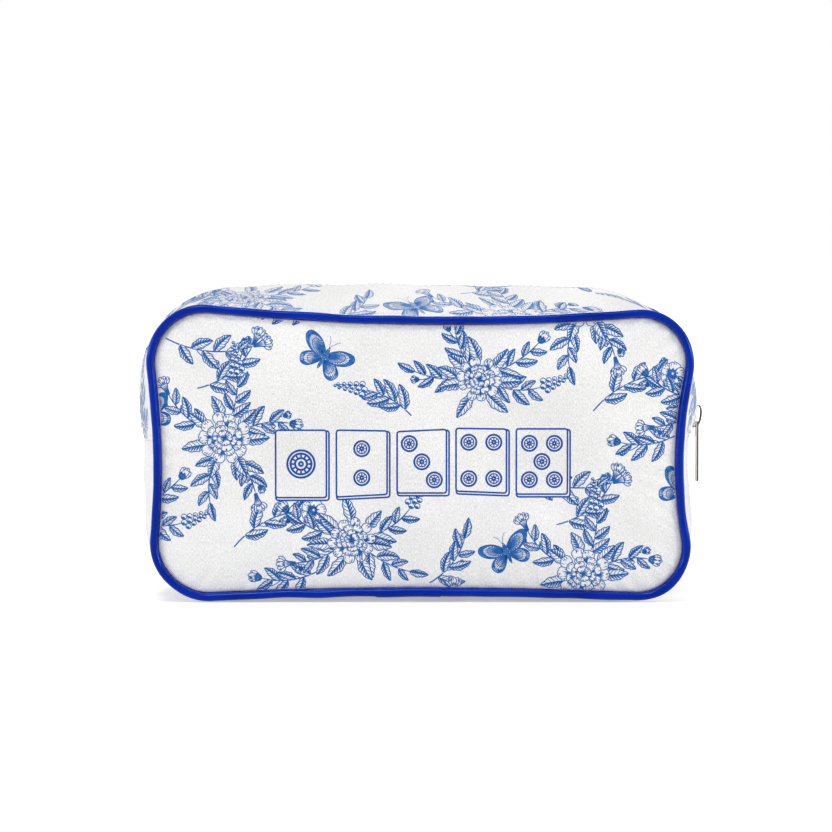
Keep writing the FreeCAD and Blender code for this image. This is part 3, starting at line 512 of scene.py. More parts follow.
def vinyl_material():
    """Glossy calendered vinyl of a deep royal blue."""
    nodes = Nodes("piping_vinyl")
    grain = object_noise(nodes, 900.0, 3.0)
    cloud = object_noise(nodes, 60.0)
    nodes.set(Base_Color=nodes.mix(nodes.ramp(cloud, 0.3, 0.7), srgb(0, 24, 132), srgb(2, 34, 150)),
              Roughness=nodes.ramp(cloud, -0.6, 4.6), Specular_IOR_Level=0.5,
              Specular_Tint=(0.10, 0.27, 1.0, 1))
    nodes.bump(grain, 0.00003)
    return nodes.material


def metal_material(name, colour, roughness, dark=None, painted_reflection_band=(0.0, 1.0)):
    """Plated metal; with a second colour, a painted dark reflection in a strip along X, in millimetres."""
    nodes = Nodes(name)
    scratch = object_noise(nodes, 700.0, 4.0)
    cloud = object_noise(nodes, 150.0)
    rubbed = tuple(c * 0.78 for c in colour[:3]) + (1.0,)
    tone = nodes.mix(nodes.ramp(cloud, 0.3, 0.7), rubbed, colour)
    # The second colour is painted reflection: dark surroundings mirrored at the metal's edge, painted into
    # its colour.
    if dark:
        place = nodes.add("ShaderNodeSeparateXYZ", {0: nodes.add("ShaderNodeTexCoord").outputs["Object"]})
        uneven = nodes.math("ADD", place.outputs[0], nodes.math("MULTIPLY", cloud, 0.0004))
        begun = nodes.ramp(uneven, painted_reflection_band[0] * MM, (painted_reflection_band[0] + 0.2) * MM)
        ended = nodes.ramp(place.outputs[0], (painted_reflection_band[1] - 0.1) * MM, painted_reflection_band[1] * MM)
        tone = nodes.mix(nodes.math("SUBTRACT", begun, ended), tone, dark)
    nodes.set(Base_Color=tone, Metallic=1.0,
              Roughness=nodes.math("ADD", nodes.math("MULTIPLY", scratch, 0.25), roughness - 0.1))
    nodes.bump(scratch, 0.00002)
    return nodes.material


def plain_cloth_material(name, light, dark, scale=1400.0, bump=0.0001):
    """Cloth or wadding whose grain is read from its place, for pieces with no flat pattern."""
    nodes = Nodes(name)
    fine = object_noise(nodes, scale, 3.0)
    broad = object_noise(nodes, scale / 14, 2.0)
    tone = nodes.math("ADD", nodes.math("MULTIPLY", fine, 0.6), nodes.math("MULTIPLY", broad, 0.4))
    nodes.set(Base_Color=nodes.mix(nodes.ramp(tone, 0.35, 0.65), dark, light), Roughness=0.95,
              Sheen_Weight=0.3, Specular_IOR_Level=0.2)
    nodes.bump(fine, bump)
    return nodes.material


CANVAS = fabric_material("printed_canvas", srgb(255, 255, 254), srgb(200, 200, 199), pitch=0.5,
                         low=0.30, high=0.70)
LINING = fabric_material("lining_cloth", srgb(232, 230, 226), srgb(215, 212, 206), pitch=0.4)
TAPE = fabric_material("zip_tape_cloth", srgb(243, 240, 233), srgb(226, 221, 211), pitch=0.8)
WADDING = plain_cloth_material("wadding_fibre", srgb(248, 248, 246), srgb(230, 230, 228), 900.0, 0.0003)
BINDING = plain_cloth_material("binding_cloth", srgb(238, 237, 233), srgb(220, 218, 212))
CORD = plain_cloth_material("filler_cotton", srgb(242, 240, 234), srgb(222, 218, 208))
THREAD = plain_cloth_material("stitch_thread", srgb(246, 245, 242), srgb(228, 226, 220), 4000.0, 0.00003)
COIL = plain_cloth_material("coil_nylon", srgb(242, 238, 228), srgb(222, 214, 200), 2500.0, 0.00002)
VINYL = vinyl_material()
METAL = metal_material("zip_metal", srgb(196, 193, 186), 0.3)
STOP_METAL = metal_material("zip_stop_metal", srgb(206, 203, 196), 0.36)
# The bridge and the tab carry a painted dark reflection in a strip along their outer edge.
BRIDGE_METAL = metal_material("bridge_metal", srgb(132, 126, 113), 0.3, srgb(88, 82, 70), (125.2, 128.0))
TAB_METAL = metal_material("pull_tab_metal", srgb(204, 202, 195), 0.28, srgb(58, 56, 50), (124.25, 124.84))
INK = ink_material("print_ink", srgb(24, 90, 166), srgb(66, 128, 194))
# Paler ink of the zip strips: painted light, standing in for the brighter light that falls on the top of
# the bag.
STRIP_INK_PAINTED_LIGHT = ink_material("print_ink_painted_light", srgb(56, 114, 186), srgb(110, 156, 210))
FRAME_INK = ink_material("frame_ink", srgb(26, 72, 156), srgb(44, 92, 172))


# The print: engraved flowers, leaves and butterflies, drawn flat and then laid on the cloth.

def spaced(points, step=0.45):
    """The same line with its points evenly spaced, in millimetres."""
    points = np.asarray(points, float)
    run = np.r_[0, np.cumsum(np.linalg.norm(np.diff(points, axis=0), axis=1))]
    count = max(3, int(math.ceil(run[-1] / step)) + 1)
    places = np.linspace(0, run[-1], count)
    return np.stack([np.interp(places, run, points[:, k]) for k in (0, 1)], 1)


def inside(polygon, points):
    """Whether each point lies in a polygon."""
    x, y = points[:, 0, None], points[:, 1, None]
    x1, y1 = polygon[:, 0], polygon[:, 1]
    x2, y2 = np.roll(x1, -1), np.roll(y1, -1)
    rise = np.where(y2 == y1, 1e-9, y2 - y1)
    crossing = ((y1 > y) != (y2 > y)) & (x < x1 + (y - y1) * (x2 - x1) / rise)
    return crossing.sum(1) % 2 == 1


def put(points, at, turn):
    """Local points turned and moved to a place on the sheet."""
    c, s = math.cos(turn), math.sin(turn)
    return np.asarray(points, float) @ np.array([[c, s], [-s, c]]) + np.asarray(at)


def rounded_curve(points, closed=True, count=10):
    """Smooth curve through points (Catmull-Rom)."""
    p = np.asarray(points, float)
    before, after, later = (np.roll(p, k, 0) for k in (1, -1, -2))
    t = np.linspace(0, 1, count, endpoint=False)[:, None, None]
    curve = 0.5 * (2 * p + (after - before) * t + (2 * before - 5 * p + 4 * after - later) * t ** 2
                   + (3 * p - before - 3 * after + later) * t ** 3)
    curve = curve.transpose(1, 0, 2)
    if not closed:
        curve = curve[1:-2]
    return curve.reshape(-1, 2)


class Ink:
    """Tapered strokes on a flat sheet. What is drawn first lies on top of what comes later,
    and so do its copies in the repeats all round."""

    def __init__(self, copies=((0.0, 0.0),)):
        self.copies = np.array(copies)
        self.runs = []
        self.covers = []
        self.boxes = np.empty((0, 4))
        self.fresh = []

    def stroke(self, points, width, start=0.3, end=0.2):
        """Stroke along points, less what is covered; start and end are shares of its width there."""
        points = spaced(points)
        t = np.linspace(0, 1, len(points))
        widths = 0.88 * width * np.minimum(1, np.minimum(start + t * 4, end + (1 - t) * 2.5))
        shown = np.ones(len(points), bool)
        low, high = points.min(0), points.max(0)
        if self.fresh:
            self.boxes = np.vstack([self.boxes, self.fresh])
            self.fresh = []
        near = (self.boxes[:, :2] < high).all(1) & (self.boxes[:, 2:] > low).all(1)
        for k in np.flatnonzero(near):
            shown &= ~inside(self.covers[k], points)
        ends = np.flatnonzero(np.diff(np.r_[0, shown, 0]))
        for a, b in zip(ends[::2], ends[1::2]):
            if b - a > 1:
                self.runs.append((points[a:b], widths[a:b]))

    def outline(self, polygon, width):
        """Stroke round a polygon, which then hides what comes later."""
        self.stroke(np.vstack([polygon, polygon[:1]]), width, 1, 1)
        for step in self.copies:
            self.covers.append(polygon + step)
            self.fresh.append(np.r_[polygon.min(0) + step, polygon.max(0) + step])


def curve_from(foot, turn, bend, length, count=36):
    """Points and headings of a line that bends evenly."""
    t = np.linspace(0, 1, count)
    heading = turn + bend * t
    steps = np.stack([np.cos(heading), np.sin(heading)], 1) * length / (count - 1)
    return np.asarray(foot) + np.cumsum(steps, 0) - steps[0], heading


def leaf(ink, foot, turn, length, width, bend=0.0, dark=1):
    """Pointed leaf; the half on its dark side is hatched, the other one has veins."""
    rib, heading = curve_from(foot, turn - bend * 0.3, bend, length, 28)
    t = np.linspace(0, 1, 28)
    across = np.stack([-np.sin(heading), np.cos(heading)], 1)
    half = width / 2 * np.sin(math.pi * t ** 0.82) ** 0.85 * (1 + 0.09 * np.sin(t * 19 + length * 3))
    left, right = rib + across * half[:, None], rib - across * half[:, None]
    step = 1 if length > 8 else 2
    for side, edge in ((1, left), (-1, right)):
        if side == dark:
            for k in range(1, 24, step):
                reach = (0.96, 0.62, 0.80)[k % 3]
                ink.stroke([rib[k], rib[k + 3] * (1 - reach) + edge[k + 3] * reach], 0.44, 1, 0.4)
        else:
            for k in range(3, 21, 4):
                bend_at = rib[k + 2] * 0.45 + edge[k + 2] * 0.55
                ink.stroke([rib[k], bend_at, edge[k + 5] * 0.9 + rib[k + 5] * 0.1], 0.32)
            for k in range(8, 24, 2 * step):
                ink.stroke([edge[k], edge[k] * 0.72 + rib[k - 1] * 0.28], 0.40, 1, 0.3)
    ink.stroke(rib, 0.55, 1, 0.5)
    ink.outline(np.vstack([left, right[::-1]]), 0.46)


def petal(ink, foot, turn, length, width, lobes, strokes, dark, rng):
    """Petal that widens from its foot to a scalloped edge, shaded from the foot."""
    t = np.linspace(0, 1, 8)
    flank = np.stack([0.68 * length * t, width / 2 * np.sin(t * math.pi / 2) ** 0.8], 1)
    u = np.linspace(1, -1, 26)
    edge = np.stack([length * (0.68 + 0.32 * (1 - np.abs(u) ** 2.2) ** 0.6
                               + 0.05 * np.abs(np.cos(u * lobes * math.pi / 2)) - 0.03), width / 2 * u], 1)
    polygon = np.vstack([flank, edge[1:-1], flank[::-1] * (1, -1)])
    for k in range(strokes):
        v = (k + 0.5) / strokes * 2 - 1
        reach = dark * rng.uniform(0.65, 1.1) * (1 - 0.3 * abs(v))
        line = np.array([[0.04, 0.10 * v], [0.4 * reach, 0.55 * v],
                         [reach, 0.86 * v * (0.6 + 0.4 * reach)]])
        ink.stroke(put(line * (length, width / 2), foot, turn), 0.52, 1, 0.15)
    for k in range(lobes + 2):
        v = rng.uniform(-0.7, 0.7)
        top = 0.93 - 0.28 * abs(v) ** 2
        line = np.array([[top, v], [top - rng.uniform(0.12, 0.28), v * 0.94]])
        ink.stroke(put(line * (length, width / 2), foot, turn), 0.36, 1, 0.2)
    ink.outline(put(polygon, foot, turn), 0.44)


def bloom(ink, at, radius, turn, rng, rings=(4, 6, 8, 10)):
    """Full flower of scalloped petals in rings, seen a little from the side."""
    at = np.asarray(at, float)
    for ring, count in enumerate(rings):
        inner = radius * 0.80 * ring / len(rings)
        length = radius * (0.30 + 0.03 * ring) + (radius * 0.12 if ring == len(rings) - 1 else 0)
        for k in range(count):
            angle = turn + 2 * math.pi * (k + 0.5 * (ring % 2)) / count + rng.uniform(-0.12, 0.12)
            out = np.array([math.cos(angle), math.sin(angle) * 0.88]) * inner * 0.8
            width = 2 * math.pi * (inner * 0.8 + length) / count * rng.uniform(0.62, 0.78)
            petal(ink, at + out, angle + rng.uniform(-0.15, 0.15), length * rng.uniform(0.9, 1.12),
                  max(width, length * 0.55), int(rng.integers(2, 4)), 7 if ring else 4,
                  rng.uniform(0.5, 0.85), rng)


def blossom(ink, at, radius, turn, rng):
    """Open flower of five petals with stamens."""
    at = np.asarray(at, float)
    for k in range(9):
        angle = turn + 2 * math.pi * k / 9 + rng.uniform(-0.1, 0.1)
        line = at + np.array([[0.08], [0.40]]) * radius * np.array([[math.cos(angle), math.sin(angle)]])
        ink.stroke(line, 0.34, 1, 1)
        dot = put(np.stack([np.cos(np.arange(6)), np.sin(np.arange(6))], 1) * 0.24, line[1], 0)
        ink.stroke(dot, 0.45, 1, 1)
    ring = np.linspace(0, 2 * math.pi, 14, endpoint=False)
    ink.outline(at + 0.17 * radius * np.stack([np.cos(ring), np.sin(ring)], 1), 0.45)
    for k in range(5):
        angle = turn + 2 * math.pi * k / 5
        petal(ink, at, angle, radius * rng.uniform(0.92, 1.05), radius * 0.98, 2, 9,
              rng.uniform(0.45, 0.7), rng)


def bud(ink, foot, turn, size, rng):
    """Half open bud in its calyx."""
    foot = np.asarray(foot, float)
    for side in (-1, 1):
        leaf(ink, foot, turn + side * 0.55, size * 0.55, size * 0.22, -side * 0.5, side)
    petal(ink, foot, turn, size, size * 0.46, 2, 7, 0.75, rng)
    for side in (-1, 1):
        petal(ink, foot, turn + side * 0.34, size * 0.92, size * 0.42, 2, 7, 0.7, rng)


def bell(ink, foot, turn, size, rng):
    """Trumpet flower seen from the side."""
    tube = np.array([[0, 0.07], [0.35, 0.12], [0.62, 0.22],
                     [0.62, -0.22], [0.35, -0.12], [0, -0.07]]) * size
    for k in range(5):
        v = (k - 2) / 2.6
        line = [[0.02 * size, 0.06 * v * size], [0.6 * size, 0.21 * v * size]]
        ink.stroke(put(line, foot, turn), 0.42, 1, 0.3)
    ink.outline(put(tube, foot, turn), 0.42)
    mouth = put([[0.5 * size, 0]], foot, turn)[0]
    for side in (0, -1, 1, -2, 2):
        petal(ink, mouth, turn + side * 0.42, size * 0.56, size * 0.30, 1, 4, 0.6, rng)


def berries(ink, foot, turn, length, bend):
    """Cluster of round berries that get smaller towards its tip."""
    line, heading = curve_from(foot, turn, bend, length, 24)
    angles = np.linspace(0, 2 * math.pi, 16, endpoint=False)
    ring = np.stack([np.cos(angles), np.sin(angles)], 1)
    for k in range(16):
        i = int(3 + 20 * k / 15)
        radius = length * (0.085 - 0.045 * k / 15)
        side = (0, 1, -1)[k % 3]
        off = np.array([-math.sin(heading[i]), math.cos(heading[i])]) * side * radius * (2.0 - k / 15)
        at = line[i] + off
        for shade in (0.25, 0.5, 0.75):
            ink.stroke(at + ring[8:15] * radius * shade, 0.42, 1, 1)
        ink.outline(at + ring * radius, 0.40)
    ink.stroke(line, 0.45, 1, 0.4)


def spray(ink, foot, turn, length, bend, rng, leaves=6, tip="bud", leaf_length=10.0, shoots=True):
    """Curved stem with leaves by turns left and right, side shoots and something at its tip."""
    line, heading = curve_from(foot, turn, bend, length, 40)
    end, facing = line[-1], heading[-1]
    if tip == "bud":
        bud(ink, end, facing, 6.0, rng)
    elif tip == "bell":
        bell(ink, end, facing, 8.0, rng)
    elif tip == "berries":
        berries(ink, end, facing, 15.0, bend * 0.3)
    elif tip == "blossom":
        blossom(ink, end, 5.5, facing, rng)
    else:
        leaf(ink, end, facing, leaf_length * 0.8, leaf_length * 0.3, bend * 0.5)
    for k in range(leaves):
        i = int(7 + 30 * k / leaves)
        side = 1 if k % 2 else -1
        long = leaf_length * (1 - 0.32 * k / leaves) * rng.uniform(0.85, 1.1)
        leaf(ink, line[i], heading[i] + side * rng.uniform(0.6, 0.95), long, long * rng.uniform(0.36, 0.44),
             -side * rng.uniform(0.3, 0.7), side)
    if shoots:
        for k in (14, 27):
            side = 1 if k > 20 else -1
            stem, way = curve_from(line[k], heading[k] + side * 0.8, -side * 0.6, length * 0.22, 12)
            bud(ink, stem[-1], way[-1], 3.8, rng)
            ink.stroke(stem, 0.45, 1, 0.8)
    ink.stroke(line, 0.66, 1, 0.6)


BUTTERFLY_BODY = np.array([[0.26, 0], [0.18, 0.035], [0, 0.045], [-0.30, 0.02], [-0.36, 0],
                           [-0.30, -0.02], [0, -0.045], [0.18, -0.035]])
FORE_WING = ((0.10, 0.03), (0.34, 0.30), (0.40, 0.62), (0.26, 0.72), (0.06, 0.58), (-0.06, 0.30),
             (-0.02, 0.05))
HIND_WING = ((-0.02, 0.03), (-0.06, 0.36), (-0.24, 0.55), (-0.44, 0.46), (-0.42, 0.26), (-0.16, 0.05))


def butterfly(ink, at, turn, size):
    """Butterfly with spread wings, seen from above; its head points along turn."""
    for v in np.linspace(-0.03, 0.03, 3):
        ink.stroke(put(np.array([[0.2, v], [-0.3, v]]) * size, at, turn), 0.5, 1, 0.6)
    ink.outline(put(BUTTERFLY_BODY * size, at, turn), 0.42)
    fore, hind = rounded_curve(FORE_WING), rounded_curve(HIND_WING)
    for side in (1, -1):
        for wing, root in ((fore, (0.06, 0.04)), (hind, (-0.08, 0.05))):
            edge = put(wing * size * (1, side), at, turn)
            base = put([np.array(root) * size * (1, side)], at, turn)[0]
            n = len(edge)
            for k in range(4, n - 4, 3):
                ink.stroke([base, base * 0.12 + edge[k] * 0.88], 0.36, 1, 0.4)
            for k in range(5, n - 5, 2):
                ink.stroke([edge[k], edge[k] * 0.80 + base * 0.20], 0.6, 1, 0.5)
            ink.stroke(edge[6:-6] * 0.66 + base * 0.34, 0.30, 0.4, 0.4)
            ink.outline(edge, 0.46)
        feeler = rounded_curve([(0.2, 0), (0.24, 0.02), (0.42, 0.08 * side), (0.52, 0.18 * side),
                                (0.5, 0.3 * side)], closed=False)
        ink.stroke(put(feeler * size, at, turn), 0.24, 1, 1)


def nosegay(ink, at, radius, turn, rng, tips):
    """Bloom with leaves close round it and sprays that spread from behind it."""
    at = np.asarray(at, float)
    bloom(ink, at, radius, turn, rng)
    for k in range(7):
        angle = turn + 0.5 + 2 * math.pi * k / 7
        foot = at + np.array([math.cos(angle), math.sin(angle)]) * radius * 0.72
        leaf(ink, foot, angle + rng.uniform(-0.3, 0.3), rng.uniform(10, 13), 5.0, rng.uniform(-0.6, 0.6),
             1 if k % 2 else -1)
    for k, (tip, angle, length) in enumerate(tips):
        angle = math.radians(angle)
        foot = at + np.array([math.cos(angle), math.sin(angle)]) * radius * 0.5
        side = 1 if k % 2 else -1
        spray(ink, foot, angle - side * 0.25, length, side * rng.uniform(0.5, 0.9), rng, 5, tip, 10.5,
              k % 2 == 0)


REPEAT_X, REPEAT_Z = 158.0, 120.0
# Places of a repeat and of those all round it; every second column is half a repeat higher.
COLUMN_ROWS = {-1: (-3, -1, 1, 3), 0: (-2, 0, 2), 1: (-3, -1, 1, 3)}
LATTICE = [(column * REPEAT_X, row * REPEAT_Z / 2) for column, rows in COLUMN_ROWS.items() for row in rows]
# Strokes and points of one repeat are numbered below these, so that no two repeats share a number.
MOST_STROKES, MOST_POINTS = 1_000_000, 10_000_000


def draw_pattern():
    """One repeat of the print, as points, half width vectors and the number of each point's stroke."""
    ink = Ink(LATTICE)
    rng = np.random.default_rng(21)
    butterfly(ink, (-42, 108), 1.0, 17)
    butterfly(ink, (38, 22), 2.0, 16)
    nosegay(ink, (-86, 72), 12.0, 0.3, rng,
            (("bell", 150, 26), ("berries", 78, 22), ("bud", 20, 24), ("leaf", 250, 24), ("bell", 300, 22)))
    nosegay(ink, (-30, 27), 10.5, 1.1, rng,
            (("bud", 160, 26), ("berries", 20, 24), ("bell", 205, 22), ("leaf", 330, 24)))
    nosegay(ink, (26, 98), 10.0, 2.0, rng,
            (("bell", 120, 22), ("bud", 30, 26), ("leaf", 175, 24), ("berries", 345, 22)))
    for at, turn, bend, length, tip in (
            ((-112, 116), -0.5, 0.8, 40, "bell"), ((76, 84), 0.9, -0.9, 40, "blossom"),
            ((114, 74), 3.7, -0.8, 27, "bud"), ((4, 8), 0.5, 0.8, 26, "leaf"),
            ((-4, 82), 2.3, 0.6, 22, "berries"), ((60, 34), 0.2, 0.9, 32, "bell")):
        spray(ink, at, turn, length, bend, rng, 6, tip, 11.5)
    return flatten(ink)


def flatten(ink):
    """Points of all strokes, with half their width as a vector and the number of their stroke."""
    points = np.vstack([p for p, _ in ink.runs])
    sides, numbers = [], []
    for number, (line, widths) in enumerate(ink.runs):
        way = np.gradient(line, axis=0)
        way /= np.maximum(np.linalg.norm(way, axis=1, keepdims=True), 1e-9)
        sides.append(np.stack([-way[:, 1], way[:, 0]], 1) * widths[:, None] / 2)
        numbers.append(np.full(len(line), number))
    return points, np.vstack(sides), np.concatenate(numbers)


def repeated(pattern, low, high, shift):
    """The pattern repeated over a rectangle, every second column half a repeat higher."""
    points, sides, numbers = pattern
    parts = []
    first = math.floor((low[0] - shift[0]) / REPEAT_X) - 1
    last = math.ceil((high[0] - shift[0]) / REPEAT_X) + 1
    for column in range(first, last):
        lift = shift[1] + (REPEAT_Z / 2 if column % 2 else 0)
        first_row = math.floor((low[1] - lift) / REPEAT_Z) - 1
        last_row = math.ceil((high[1] - lift) / REPEAT_Z) + 1
        for row in range(first_row, last_row):
            moved = points + (shift[0] + column * REPEAT_X, lift + row * REPEAT_Z)
            kept = ((moved > low) & (moved < high)).all(1)
            parts.append((moved[kept], sides[kept], numbers[kept] + len(parts) * MOST_STROKES,
                          np.flatnonzero(kept) + len(parts) * MOST_POINTS))
    return [np.concatenate(p) for p in zip(*parts)]


def lay_ink(name, drawing, surface, material, kept=None, flip=False):
    """Mesh of the strokes, laid on a surface a little proud of the cloth."""
    points, sides, numbers, order = drawing
    if kept is not None:
        points, sides, numbers, order = (a[kept] for a in (points, sides, numbers, order))
    left, hit_left = surface(points + sides)
    right, hit_right = surface(points - sides)
    good = hit_left & hit_right
    n = len(points)
    joined = (numbers[:-1] == numbers[1:]) & (order[1:] == order[:-1] + 1)
    i = np.flatnonzero(joined & good[:-1] & good[1:])
    faces = np.stack([i + n, i + 1 + n, i + 1, i], 1)
    if flip:
        faces = faces[:, ::-1]
    used, faces = np.unique(faces, return_inverse=True)
    faces = faces.reshape(-1, 4)
    every = np.vstack([left, right])[used]
    flat = np.vstack([points + sides, points - sides])[used]
    piece = make_piece(name, every, faces, material, slot="printed_canvas", flat=flat)
    # The strokes keep their places in the map that textures are baked to.
    low = flat.min(0)
    places = ((flat - low) / (flat.max(0) - low))[faces.ravel()]
    piece.data.uv_layers.new(name="OFBake").data.foreach_set("uv", places.astype(np.float32).ravel())


# The two panels.

# Insets of a panel's rings from the seam, closer together at its edge.
PANEL_LEVELS = np.r_[1.75, 1.95, 2.2, 2.6, 3.1, 3.7, 4.5, 5.4, 6.4, 7.5, 8.7, 10, 11.5, 13.2, 15, 17, 19,
                     21.2, 23.5, 26, 28.5, 31, 34, 37, 40]
long_swell = waves(3, 9, 55, 125)
fine_swell = waves(8, 9, 16, 34)
# The rings end in a spine along the middle, which stands a little further out.
SPINE_HALF, SPINE_RISE = 56, 0.35
UNDER_PIPING = 0.2


def panel_depth(x, z, inset, index):
    """How far the cloth stands out of the panel's even crown: gathers at the seam, broad and fine
    swells, ridges at both ends, and the tuck where it meets the piping."""
    inward = inset - SKIN_SETBACK
    gather = 0.26 * puckers[index] * math.exp(-inward / 8) * clamped(inward / 1.6)
    gather = gather * (inset < 38)
    away = clamped(inward / 14)
    side = np.exp(-((np.abs(x) - 109) / 9) ** 2 - ((z - 62) / 30) ** 2)
    ridge = 0.55 * side * np.sin((np.abs(x) - 96) / 3.6) * away
    tuck = -0.9 * math.exp(-max(0.0, inward) / 1.3)
    return gather + away * (0.42 * long_swell(x, z) + 0.07 * fine_swell(x, z)) + ridge + tuck


def panel_grid(setback, depth_in):
    """Rings of one side of a panel layer from its edge inwards, then in to its spine."""
    ring_index = np.arange(RING)
    # The canvas goes on a little way under the piping.
    start = setback - (UNDER_PIPING if setback == SKIN_SETBACK else 0)
    levels = np.r_[start, PANEL_LEVELS[PANEL_LEVELS > setback + UNDER_PIPING]]
    rings = []
    for inset in levels:
        share = max(0.0, (inset - SKIN_SETBACK) / (CROWN_REACH - SKIN_SETBACK))
        outline = panel_outline(inset, share / 2)[0]
        crown = CROWN_HEIGHT * (1 - (1 - min(1, share)) ** 2)
        lift = panel_depth(outline[:, 0], outline[:, 1], inset, ring_index) + crown - depth_in
        rings.append(np.stack([outline[:, 0], -(HALF_DEPTH + lift), outline[:, 1]], 1))
    last = rings[-1]
    centre_z = last[:, 2].mean()
    across = (RING // 2 - 1 - np.arange(RING)) % RING
    spine_x = np.clip((last[:, 0] + last[across, 0]) * 0.375, -SPINE_HALF, SPINE_HALF)
    for share in np.linspace(0, 1, 8)[1:]:
        x = last[:, 0] * (1 - share) + spine_x * share
        z = last[:, 2] * (1 - share) + centre_z * share
        depth = panel_depth(x, z, CROWN_REACH + 20 * share, ring_index)
        lift = depth + CROWN_HEIGHT + SPINE_RISE * share - depth_in
        rings.append(np.stack([x, -(HALF_DEPTH + lift), z], 1))
    return np.array(rings)


def panel_layer(name, setback, depth_in, thick, front, material, **settings):
    """One layer of the front or back panel; returns its piece."""
    outer = panel_grid(setback, depth_in)
    inner = outer + (0, thick, 0)
    if not front:
        outer, inner = outer * (1, -1, 1), inner * (1, -1, 1)
    m = len(outer)
    edge = np.concatenate([np.zeros((1, RING)), edge_distance(outer, 0)])
    bulge = edge_round(edge, 0.5)[..., None]
    middle, reach = (outer + inner) / 2, (outer - inner) / 2
    grids = [middle + reach * bulge, middle - reach * bulge]
    faces = [grid_faces(m, RING, wrap=True, flip=not front),
             grid_faces(m, RING, m * RING, wrap=True, flip=front)]
    points = np.vstack([g.reshape(-1, 3) for g in grids])
    flat = np.vstack([outer[..., (0, 2)].reshape(-1, 2)] * 2)
    if not front:
        flat = flat * (-1, 1)
    points, faces, flat = weld(points, [f for block in faces for f in block], flat)
    piece = make_piece(name, points, faces, material, flat=flat, **settings)
    if name.endswith("padding"):
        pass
    else:
        outline = panel_outline(setback)[0] * MM
    return piece


def tidy_normals(piece):
    """Turn all faces of a closed piece outwards."""
    mesh = bmesh.new()
    mesh.from_mesh(piece.data)
    bmesh.ops.recalc_face_normals(mesh, faces=mesh.faces)
    mesh.to_mesh(piece.data)
    mesh.free()


panels = {}
for side, sign in SIDES:
    front = sign < 0
    panels[side] = panel_layer(side + "_canvas", SKIN_SETBACK, CANVAS_OUT, CANVAS_THICKNESS, front, CANVAS,
                               slot="printed_canvas", replaces=[side + "_panel"])
    panel_layer(side + "_padding", PADDING_SETBACK, PADDING_OUT, PADDING_THICKNESS, front, WADDING,
                slot="wadding", replaces=[side + "_wadding"])
    panel_layer(side + "_inner_cloth", LINING_SETBACK, LINING_OUT, LINING_THICKNESS, front, LINING,
                slot="lining", replaces=[side + "_lining"])


# Layers of the gusset.

PADDING_EDGE, LINING_EDGE = HALF_DEPTH - PADDING_SETBACK, HALF_DEPTH - LINING_SETBACK
# Spacing of the points across a layer, and along the canvas, the inner layers and the tapes.
ACROSS, TAPE_ACROSS = 3.0, 1.2
CANVAS_STEP, INNER_STEP, TAPE_STEP = 1.6, 3.0, 1.5

gusset = {}
for side, sign in SIDES:
    canvas_ys = sign * spread(SLOT_HALF, EDGE, ACROSS)
    gusset[side] = gusset_layer(
        "zip_strip_canvas_" + side, canvas_ys, (CANVAS_OUT, CANVAS_IN), True, CANVAS_STEP, CANVAS,
        slot="printed_canvas", replaces=["zip_strip_" + side])
    padding_ys = sign * spread(TAPE_HALF + LAYER_GAP, PADDING_EDGE, ACROSS)
    gusset_layer("zip_strip_padding_" + side, padding_ys, (PADDING_OUT, PADDING_IN), True, INNER_STEP,
                 WADDING, slot="wadding", replaces=["zip_strip_wadding_" + side])
    lining_ys = sign * spread(LINING_SLOT_HALF, LINING_EDGE, ACROSS)
    gusset_layer("zip_strip_inner_cloth_" + side, lining_ys, (LINING_OUT, LINING_IN), True, INNER_STEP,
                 LINING, slot="lining", replaces=["zip_strip_lining_" + side])
    tape_ys = sign * spread(CHAIN_GAP_HALF, TAPE_HALF, TAPE_ACROSS)
    gusset_layer("zip_tape_cloth_" + side, tape_ys, (TAPE_OUT, TAPE_IN), True, TAPE_STEP, TAPE,
                 radius=0.25, slot="zip_tape", replaces=["zip_tape_" + side])
gusset["low"] = gusset_layer(
    "gusset_canvas", spread(-EDGE, EDGE, ACROSS), (CANVAS_OUT, CANVAS_IN), False, CANVAS_STEP, CANVAS,
    slot="printed_canvas", replaces=["lower_gusset"])
gusset_layer("gusset_padding", spread(-PADDING_EDGE, PADDING_EDGE, ACROSS), (PADDING_OUT, PADDING_IN),
             False, INNER_STEP, WADDING, slot="wadding", replaces=["lower_gusset_wadding"])
gusset_layer("gusset_inner_cloth", spread(-LINING_EDGE, LINING_EDGE, ACROSS), (LINING_OUT, LINING_IN),
             False, INNER_STEP, LINING, slot="lining", replaces=["lower_gusset_lining"])


# Pieces that follow the seams: piping, filler cord and binding.

LAP_THICKNESS = 0.34
CORD_RADIUS, CORD_TWIST, CORD_AROUND = 1.2, 2.0, 18
BINDING_START, BINDING_END = 4.6, 8.05
SEAM, SEAM_NORMAL = panel_outline(0, 0, 0)
SEAM_RUN = np.r_[0, np.cumsum(np.linalg.norm(np.diff(SEAM, axis=0, append=SEAM[:1]), axis=1))]


def along_seam(section, front, index=None):
    """Points of a section swept along the seam; the section has one row per place, or one for all.
    Its columns are the distance into the bag from the seam line and the distance towards the middle."""
    index = np.arange(RING) if index is None else index
    section = np.broadcast_to(section, (len(index),) + section.shape[-2:])
    base, normal = SEAM[index, None], SEAM_NORMAL[index, None]
    at = base - normal * section[..., :1]
    depth = -HALF_DEPTH + section[..., 1]
    return np.stack([at[..., 0], depth if front else -depth, at[..., 1]], -1)


def circle(radius, count):
    angles = even_angles(count)
    return np.stack([np.cos(angles), np.sin(angles)], -1) * radius


def tube_faces(stations, around, offset=0, flip=False, closed=True):
    """Quads of a tube whose rings follow one another, closed into a loop or left open."""
    faces = grid_faces(stations + (1 if closed else 0), around, wrap=True, flip=flip)
    if closed:
        return (faces % (stations * around)) + offset
    return faces + offset


